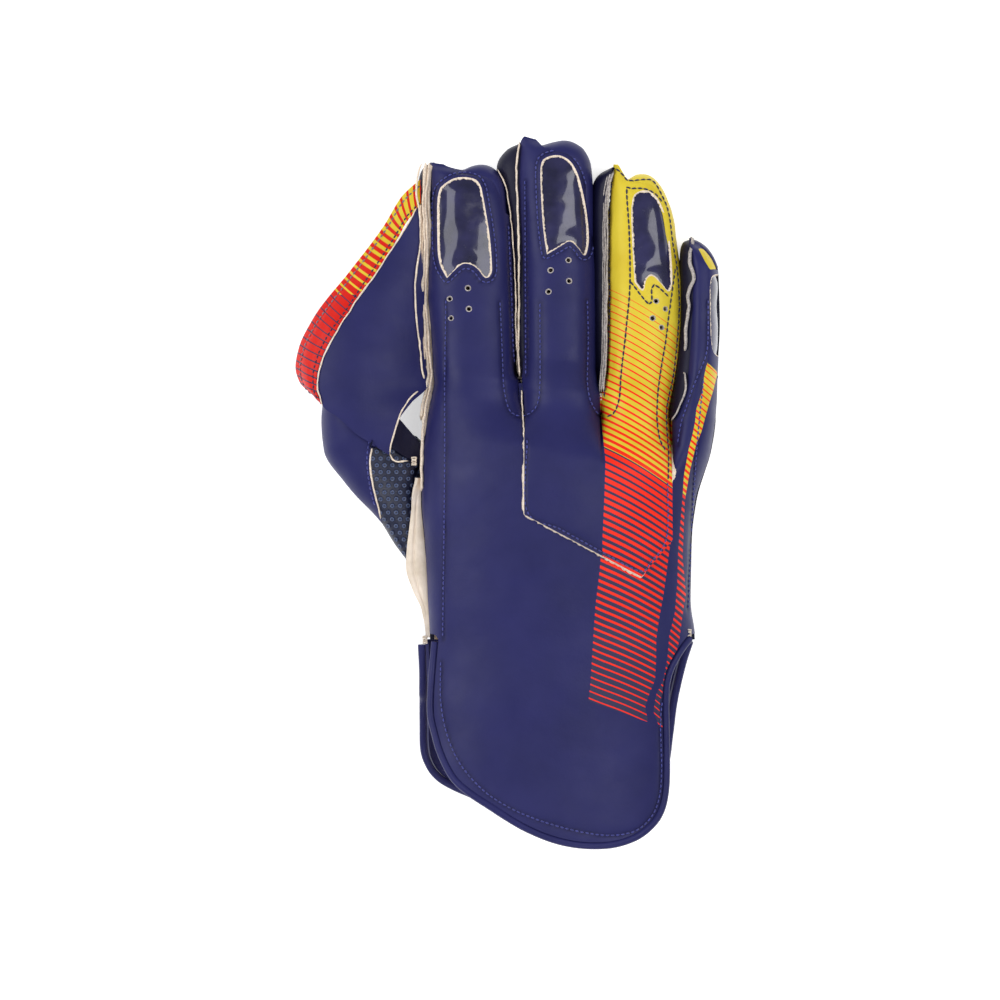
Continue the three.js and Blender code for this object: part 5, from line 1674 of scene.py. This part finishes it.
def web_sheet():
    """Leather that bulges between its two edges, with a mark where its right edge is bare."""
    rows = np.linspace(0, len(WEB["right_x"]) - 1, 150)[:, None]
    t = np.linspace(0, 1, 61)[None, :]
    bulge = 4 * t * (1 - t)
    right, middle, left = (web_row[name](rows) for name in ("right_z", "middle_z", "left_z"))
    z = lerp(right, left, t) + (middle - (right + left) / 2) * bulge
    x = lerp(web_row["right_x"](rows), web_row["left_x"](rows), t)
    y = lerp(web_row["right_y"](rows), web_row["left_y"](rows), t)
    grid = millimetre_points(x, y, z * HAND_DEPTH + RUBBER + GAP + LEATHER)
    sheet = grid_sheet(grid, right=1.0 * (t < 0.5) * (rows < BARE_ROWS)).merged()
    return sheet.moved(0.4 * noise(sheet.points[:, :2], 26, 17) + 0.12 * noise(sheet.points[:, :2], 9, 18))


def binding_sheet():
    """Striped strip along the web's outer edge, with a channel along each of its seams."""
    rows = np.linspace(0, len(BINDING["inner_x"]) - 1, 190)[:, None]
    t = np.linspace(0, 1, BINDING_COLUMNS)[None, :]
    ends = {name: column(rows) for name, column in binding_row.items()}
    across, along = ends["outer_x"] - ends["inner_x"], ends["outer_y"] - ends["inner_y"]
    width = np.hypot(across * BODY_WIDTH, along * GLOVE_LENGTH)
    u = lerp(2 * GAP / width, 1, t)
    x, y = lerp(ends["inner_x"], ends["outer_x"], u), lerp(ends["inner_y"], ends["outer_y"], u)
    z = lerp(ends["inner_z"], ends["outer_z"], u * u)
    grid = millimetre_points(x, y, z * HAND_DEPTH + RUBBER + LEATHER - GAP)
    middle = grid[:, BINDING_COLUMNS // 2]
    length = np.concatenate([[0], np.cumsum(np.linalg.norm(np.diff(middle, axis=0), axis=1))])
    length = length[:, None] + 1.6 * (t - 0.5) ** 2
    counts = np.concatenate([[0], np.cumsum(np.diff(BINDING_STRIPES["to"]) / BINDING_STRIPES["pitch"])])
    phase = np.interp(length, BINDING_STRIPES["to"], counts)
    py = to_photo(grid)[1]
    marks = (phase, read(BINDING_RED, py), (BINDING_CHANGE - py) * PIXEL_WIDTH, np.ones_like(py))
    sheet = grid_sheet(grid, **dict(zip(PRINT_MARKS, marks)))
    channel = sum(np.exp(-(((t - place) * width) ** 2)) for place in BINDING_SEAMS)
    return sheet.moved(-0.35 * channel.ravel() + 0.15 * noise(sheet.points, 7, 19)), grid


def add_web():
    """Leather stretched between the index finger and the thumb, raw along its right edge."""
    sheet = web_sheet()
    bare = sheet.marks["right"]
    # Painted shade: the web's inside takes the darker palm finish
    piece = add_wall(
        "web_leather", sheet, LEATHER, ["navy_leather", "palm_leather_painted_shade", "cut_edge"],
        spread=0.3 * bare, bare=bare > 0.5, stands_for=["web_panel"],
    )
    return sheet


def add_binding():
    """The binding as a printed piece, with the grid that its stitches follow."""
    sheet, grid = binding_sheet()
    # Painted shade: the binding's inside takes the darker palm finish
    piece = add_wall(
        "binding_leather", sheet, LEATHER, ["binding_print_painted_shade", "palm_leather_painted_shade", "cut_edge"],
        stands_for=["web_binding"], keep_marks=PRINT_MARKS,
    )
    return sheet, grid


web = add_web()
binding, binding_grid = add_binding()


# Welts, lining fold, piping

# Section of a raw leather edge: shares of its thickness across and of its height
WELT_SECTION = np.array(
    [(-0.5, 0), (-0.5, 0.82), (-0.38, 0.96), (0, 1), (0.38, 0.96), (0.5, 0.82), (0.5, 0)]
)


def welt_layer(line, thickness, low, high, number):
    """Points of one wavy leather edge: a ring of the welt's section at each step of the line."""
    line = smooth_line(line, 0.7)
    along = unit(np.gradient(line[:, :2], axis=0))
    across = np.column_stack([-along[:, 1], along[:, 0], 0 * along[:, 0]])
    steps = np.arange(len(line))
    ends = np.minimum(1, np.minimum(steps, steps[::-1]) / 4 + 0.3)
    wobble = 0.28 * noise(line, 6, 20 + number) + 0.16 * noise(line, 2.4, 23 + number)
    wide = thickness * (1 + 0.22 * noise(line, 3.5, 26 + number) + 0.12 * noise(line, 1.3, 29)) * ends
    lift = (high - low) * (1 + 0.08 * noise(line, 5, 32 + number)) * ends
    out = WELT_SECTION[:, 0] * wide[:, None] + wobble[:, None]
    points = line[:, None] + across[:, None] * out[..., None]
    points[..., 2] += low + WELT_SECTION[:, 1] * lift[:, None]
    return points


def add_welt(name, layers, look, stands_for=()):
    """Raw leather edges side by side."""
    points, faces, start = [], [], 0
    for number, layer in enumerate(layers):
        rings = welt_layer(*layer, number)
        points.append(rings.reshape(-1, 3))
        faces.append(tube_faces(*rings.shape[:2])[:, ::-1] + start)
        start += len(points[-1])
    points, faces = np.vstack(points), np.vstack(faces)
    return add_piece(name, points, faces, [look], stands_for=stands_for, crease=60)


def shifted(pixels, across):
    """Pixels moved across."""
    return [(x + across, y) for x, y in pixels]


def index_seam(pixels, across=0.0):
    """Line through pixels of the photograph, moved across, at the height of the index finger's seam."""
    flat = smooth_line(from_photo(shifted(pixels, across)), 2)
    height = back_point(0, np.zeros(len(flat)), flat[:, 1] / GLOVE_LENGTH)[:, 2]
    return np.column_stack([flat, height])


def surface_line(pixels, ground, lift=0.0, inset=0.0):
    """Line through pixels of the photograph at the height of the ground an inset beside it."""
    flat = smooth_line(from_photo(pixels), 1.5)
    return np.column_stack([flat, ground.heights(flat + (inset, 0)) + lift])


INDEX_WELT = [
    (428.5, 161), (427.5, 180), (425.5, 200), (427, 230), (427.5, 262), (425.5, 290), (428, 330),
    (430.5, 362), (431.5, 374), (429, 390), (426, 404), (423.5, 420), (422.5, 440), (421.5, 470), (422, 492),
]
MIDDLE_WELT = [
    (519.5, 140), (516.8, 160), (517, 190), (518, 217), (519, 262), (518.7, 310), (518.5, 350),
    (519.5, 376),
]
INDEX_EDGE = [
    (497, 168), (505, 182), (508.5, 200), (511, 217), (514, 260), (516, 310), (516.5, 345), (518, 374),
]
RING_WELT = [
    (612, 168), (606.5, 190), (605.5, 225), (605, 262), (605, 300), (604.5, 340), (603, 370),
    (601.5, 392),
]
LITTLE_WELT = [
    (691, 236), (693, 241), (690.5, 252), (689.5, 262), (692.5, 271), (693.5, 279), (690, 287), (688, 296),
    (689, 305), (687.5, 314), (686, 330), (685, 352),
]
HOLE_RIM = [
    (679, 371), (684, 372.5), (685.6, 382), (684.4, 393), (680.5, 404), (675.5, 415), (671, 420.5),
]
SECOND_WELT = [
    (422, 162), (418.5, 172), (416.5, 190), (419.5, 215), (420, 245), (416.5, 269), (415, 288), (416.5, 320),
    (419.5, 344), (422.5, 369), (425, 380),
]
SLIT_END = [(519.5, 378), (522, 395), (523.3, 417), (523.9, 438)]
web_ground = Ground(web)
thumb_ground = Ground(thumb)

# Layers of each welt: line, thickness, height of its foot and of its edge
index_layers = [
    (index_seam(INDEX_WELT[2:10], -5.4), 1.2, -4, 6.0),
    (index_seam(INDEX_WELT[:12], -2.9), 1.4, -4, 6.6),
    (index_seam(INDEX_WELT), 1.5, -4, 6.0),
    (index_seam(INDEX_WELT[:13], 2.5), 1.5, -4, 4.4),
    (surface_line(SECOND_WELT, web_ground, -1.0), 0.8, -1.5, 3.0),
]
middle_layers = [
    (surface_line(MIDDLE_WELT, top_ground, -0.6, 2.4), 0.9, -4.0, 0.9),
    (surface_line(INDEX_EDGE, top_ground, -0.4, -1.6), 0.6, -3.0, 0.5),
    (surface_line(SLIT_END, top_ground, 0.0, 0.8), 0.6, -2.0, 0.6),
]
ring_layers = [
    (surface_line(shifted(RING_WELT, 1.9), top_ground, -0.5, 2.4), 0.9, -4.0, 0.9),
    (surface_line(RING_WELT, top_ground, -1.0, 3.4), 0.8, -4.0, 0.9),
    (surface_line(shifted(RING_WELT, -1.9), top_ground, -1.8, 4.3), 0.7, -4.0, 0.9),
]
little_layers = [
    (surface_line(LITTLE_WELT, top_ground, -0.6, 2.6), 1.5, -4.0, 1.2),
    (surface_line(HOLE_RIM, top_ground, -0.3, 2.0), 0.8, -2.0, 0.9),
]
add_welt("index_welt_edges", index_layers, "cut_edge", ["index_welt"])
add_welt("middle_welt_edges", middle_layers, "cut_edge", ["middle_welt"])
add_welt("ring_welt_edges", ring_layers, "grey_edge", ["ring_welt"])
add_welt("little_welt_edges", little_layers, "grey_edge", ["little_welt"])


def web_left_line():
    """The web's left edge, down to where it meets the thumb."""
    flat = millimetre_points(np.array(WEB["left_x"]), np.array(WEB["left_y"]), 0 * np.array(WEB["left_x"]))
    flat[:, 2] = np.array(WEB["left_z"]) * HAND_DEPTH + RUBBER + GAP + LEATHER
    return flat[:9] + [-0.2, 0, 0]


web_layers = [
    (web_left_line(), 0.6, -1.5, 0.7),
    (surface_line(TONGUE_EDGE[:6], web_ground) + [0.1, 0, 0], 0.7, -1.8, 0.5),
]
curl_line = np.column_stack([from_photo(TONGUE_EDGE[5:]), TONGUE_HEIGHTS])
add_welt("web_edges", web_layers, "cut_edge")
add_welt("tongue_curl", [(curl_line, 0.8, -1.6, 0.5)], "cut_edge")
add_welt("thumb_seam", [(surface_line(THUMB_SEAM[2:], thumb_ground), 0.8, -1.0, 0.9)], "cut_edge")


def add_gusset():
    """Leather between the web's tongue and the hand, in the darker palm finish as painted shade."""
    upper, lower = (smooth_line(from_photo(side), 0.8) for side in GUSSET)
    count = min(len(upper), len(lower))
    across, down = np.linspace(0, 1, count)[None, :, None], np.linspace(0, 1, 14)[:, None, None]
    flat = lerp(picked(upper, count)[None], picked(lower, count)[None], down)
    sag = 2.2 * np.sin(math.pi * across) * np.sin(math.pi * lerp(0.3, 1, down))
    sheet = turned_over(grid_sheet(np.concatenate([flat, lerp(33.0, 25.0, across) - sag], axis=2)).merged())
    sheet = sheet.moved(0.3 * noise(sheet.points, 5, 60))
    add_wall("gusset", sheet, CAP_LEATHER, ["palm_leather_painted_shade"] * 3)


add_gusset()


# Lumps of thread: pixel and size
KNOTS = {
    "middle_slit_knot": ((519.5, 379), 1.5),
    "ring_slit_knot": ((601, 397), 1.3),
    "left_notch_knot": ((425, 640), 1.6),
    "right_notch_knot": ((689, 633), 1.4),
    "tongue_knot": ((414, 461), 1.7),
}
KNOT_RADIUS = 0.32
KNOT_HEIGHT = 30


def add_knot(name, pixel, size):
    """Small lump of bar-tacked thread where a slit ends, on the ground or at a height of its own."""
    centre = from_photo([pixel])
    point, _, hit = top_ground.under(centre)
    t = np.linspace(0, 2 * math.pi, 40)
    loops = size * np.column_stack([0.6 * np.sin(5 * t), np.cos(t), 0.35 * np.cos(5 * t)])
    middle = [*centre[0], point[0, 2] if hit[0] else KNOT_HEIGHT]
    add_tube(name, loops + middle, KNOT_RADIUS, "thread_cream", 8)


for knot, (pixel, size) in KNOTS.items():
    add_knot(knot, pixel, size)


TUCK = 2.0
CREASE = {"at": 0.68, "width": 0.06, "depth": 1.1}
FOLD_RISE = 1.6


def lining_sheet():
    """Fold of lining that swells out of the seam at the wrist and turns down again."""
    rows = np.linspace(SIDE_LINING["along"][0], SIDE_LINING["along"][-1], 90)[:, None]
    t = np.linspace(0, 1, 25)[None, :]
    out = curve(SIDE_LINING["along"], SIDE_LINING["out"])(rows) * BODY_WIDTH
    height = curve(SIDE_LINING["along"], SIDE_LINING["height"])(rows)
    seam = back_point(0, np.zeros_like(rows), rows)
    x = seam[..., 0] + lerp(TUCK, -out - 3 * GAP, t)
    wide = smoothstep(out, 1, 6)
    crease = CREASE["depth"] * np.exp(-(((t - CREASE["at"]) / CREASE["width"]) ** 2)) * wide
    rise = lerp(seam[..., 2] - 1.8, height * HAND_DEPTH + RUBBER + GAP, t * t)
    z = rise + FOLD_RISE * np.sin(math.pi * t) * wide - crease
    return turned_over(grid_sheet(np.stack([x, seam[..., 1] + 0 * x, z], -1)).merged())


lining_fold = add_wall(
    "lining_fold", lining_sheet(), LINING, ["lining_cloth"] * 3, stands_for=["side_lining"],
)


def add_piping(name, outline, height, stands_for):
    """Rolled leather rim round a cuff flap."""
    line = smooth_line(millimetres(outline), 1.6)
    heading = unit(np.gradient(line, axis=0))
    inner = line + RIM_RADIUS * np.column_stack([-heading[:, 1], heading[:, 0]])
    path = np.column_stack([inner, height(inner[:, 0] / BODY_WIDTH, inner[:, 1] / GLOVE_LENGTH)])
    radius = RIM_RADIUS * (1 + 0.05 * noise(path, 9, 40))
    add_tube(name, path, radius, "navy_leather", stands_for=stands_for)


def back_rim_height(x, y):
    return hand_arch(x, y) * HAND_DEPTH + RUBBER + GAP - LEATHER / 2


def palm_rim_height(x, y):
    return palm_arch(hand_share(x, y), y) * HAND_DEPTH + RUBBER + GAP + LEATHER / 2


add_piping("back_rim", BACK_FLAP, back_rim_height, ["back_piping"])
add_piping("palm_rim", PALM_FLAP, palm_rim_height, ["palm_piping"])


# Stitching

add_stitches("back_stitching", seams_on_back, top_ground, "thread_blue")
add_stitches("overlay_stitching", seams_on_overlay, top_ground, "thread_blue")
yellow_ground = Ground(back, overlay, caps["ring"])
add_stitches("yellow_stitching", seams_on_yellow, yellow_ground, "thread_dark", **HEAVY_STITCH)
thumb_line = from_photo(shifted(THUMB_SEAM[2:-1], -3.5))
add_stitches("thumb_stitching", [thumb_line], thumb_ground, "thread_blue")
binding_ground = Ground(binding)
for side, column, look in (("outer", 14, "thread_grey"), ("inner", 3, "thread_dark")):
    row = binding_grid[3:-6, column, :2]
    add_stitches(f"binding_{side}_stitching", [row], binding_ground, look)


# Floor, lights and camera

# Place, size and power of each softbox, in metres and watts
SOFTBOXES = {
    "left_softbox": ((-1.4, 0.5, 1.35), (1.4, 1.4), 21),
    "right_softbox": ((0.8, 0.35, 1.5), (0.5, 1.6), 11),
    "front_softbox": ((0.1, -1.3, 1.3), (1.4, 0.5), 8),
}
CAMERA_DISTANCE = 5.0
SENSOR_WIDTH = 36.0
GLOVE_MIDDLE = 0.03
WORLD_LIGHT = 0.45
FLOOR_GLOW = 0.55


def add_floor():
    """White floor that glows a little, as on a light table."""
    bpy.ops.mesh.primitive_plane_add(size=6, location=(0, 0, -0.0004))
    floor = bpy.context.object
    floor.name = "floor"
    shader = Shader("floor_white", Roughness=0.9)
    shader.surface.inputs["Emission Color"].default_value = (1, 1, 1, 1)
    shader.surface.inputs["Emission Strength"].default_value = FLOOR_GLOW
    floor.data.materials.append(shader.finish(FLOOR_WHITE))


def add_softbox(name, place, size, power):
    """Flat lamp that faces the glove."""
    light = bpy.data.lights.new(name, "AREA")
    light.shape = "RECTANGLE"
    light.size, light.size_y = size
    light.energy = power
    lamp = bpy.data.objects.new(name, light)
    lamp.location = place
    lamp.rotation_euler = (Vector((0, 0, 0.02)) - Vector(place)).to_track_quat("-Z", "Y").to_euler()
    bpy.context.scene.collection.objects.link(lamp)


def add_camera():
    """Straight above, as far off as keeps the heights of the glove in the photograph's scale."""
    middle = (from_photo([(PHOTO_PIXELS / 2, PHOTO_PIXELS / 2)])[0] + ORIGIN[:2]) / 1000
    camera_data = bpy.data.cameras.new("camera")
    camera_data.sensor_width = SENSOR_WIDTH
    camera_data.lens = SENSOR_WIDTH * CAMERA_DISTANCE / (PHOTO_PIXELS * PIXEL_WIDTH / 1000)
    camera = bpy.data.objects.new("camera", camera_data)
    camera.location = (*middle, CAMERA_DISTANCE + GLOVE_MIDDLE)
    bpy.context.scene.collection.objects.link(camera)
    bpy.context.scene.camera = camera


def add_world():
    """Even white light from all round."""
    world = bpy.data.worlds.new("studio")
    world.use_nodes = True
    background = world.node_tree.nodes["Background"]
    background.inputs["Color"].default_value = (1, 1, 1, 1)
    background.inputs["Strength"].default_value = WORLD_LIGHT
    bpy.context.scene.world = world


add_floor()
for name, (place, size, power) in SOFTBOXES.items():
    add_softbox(name, place, size, power)
add_camera()
add_world()
bpy.context.scene.view_settings.view_transform = "Standard"
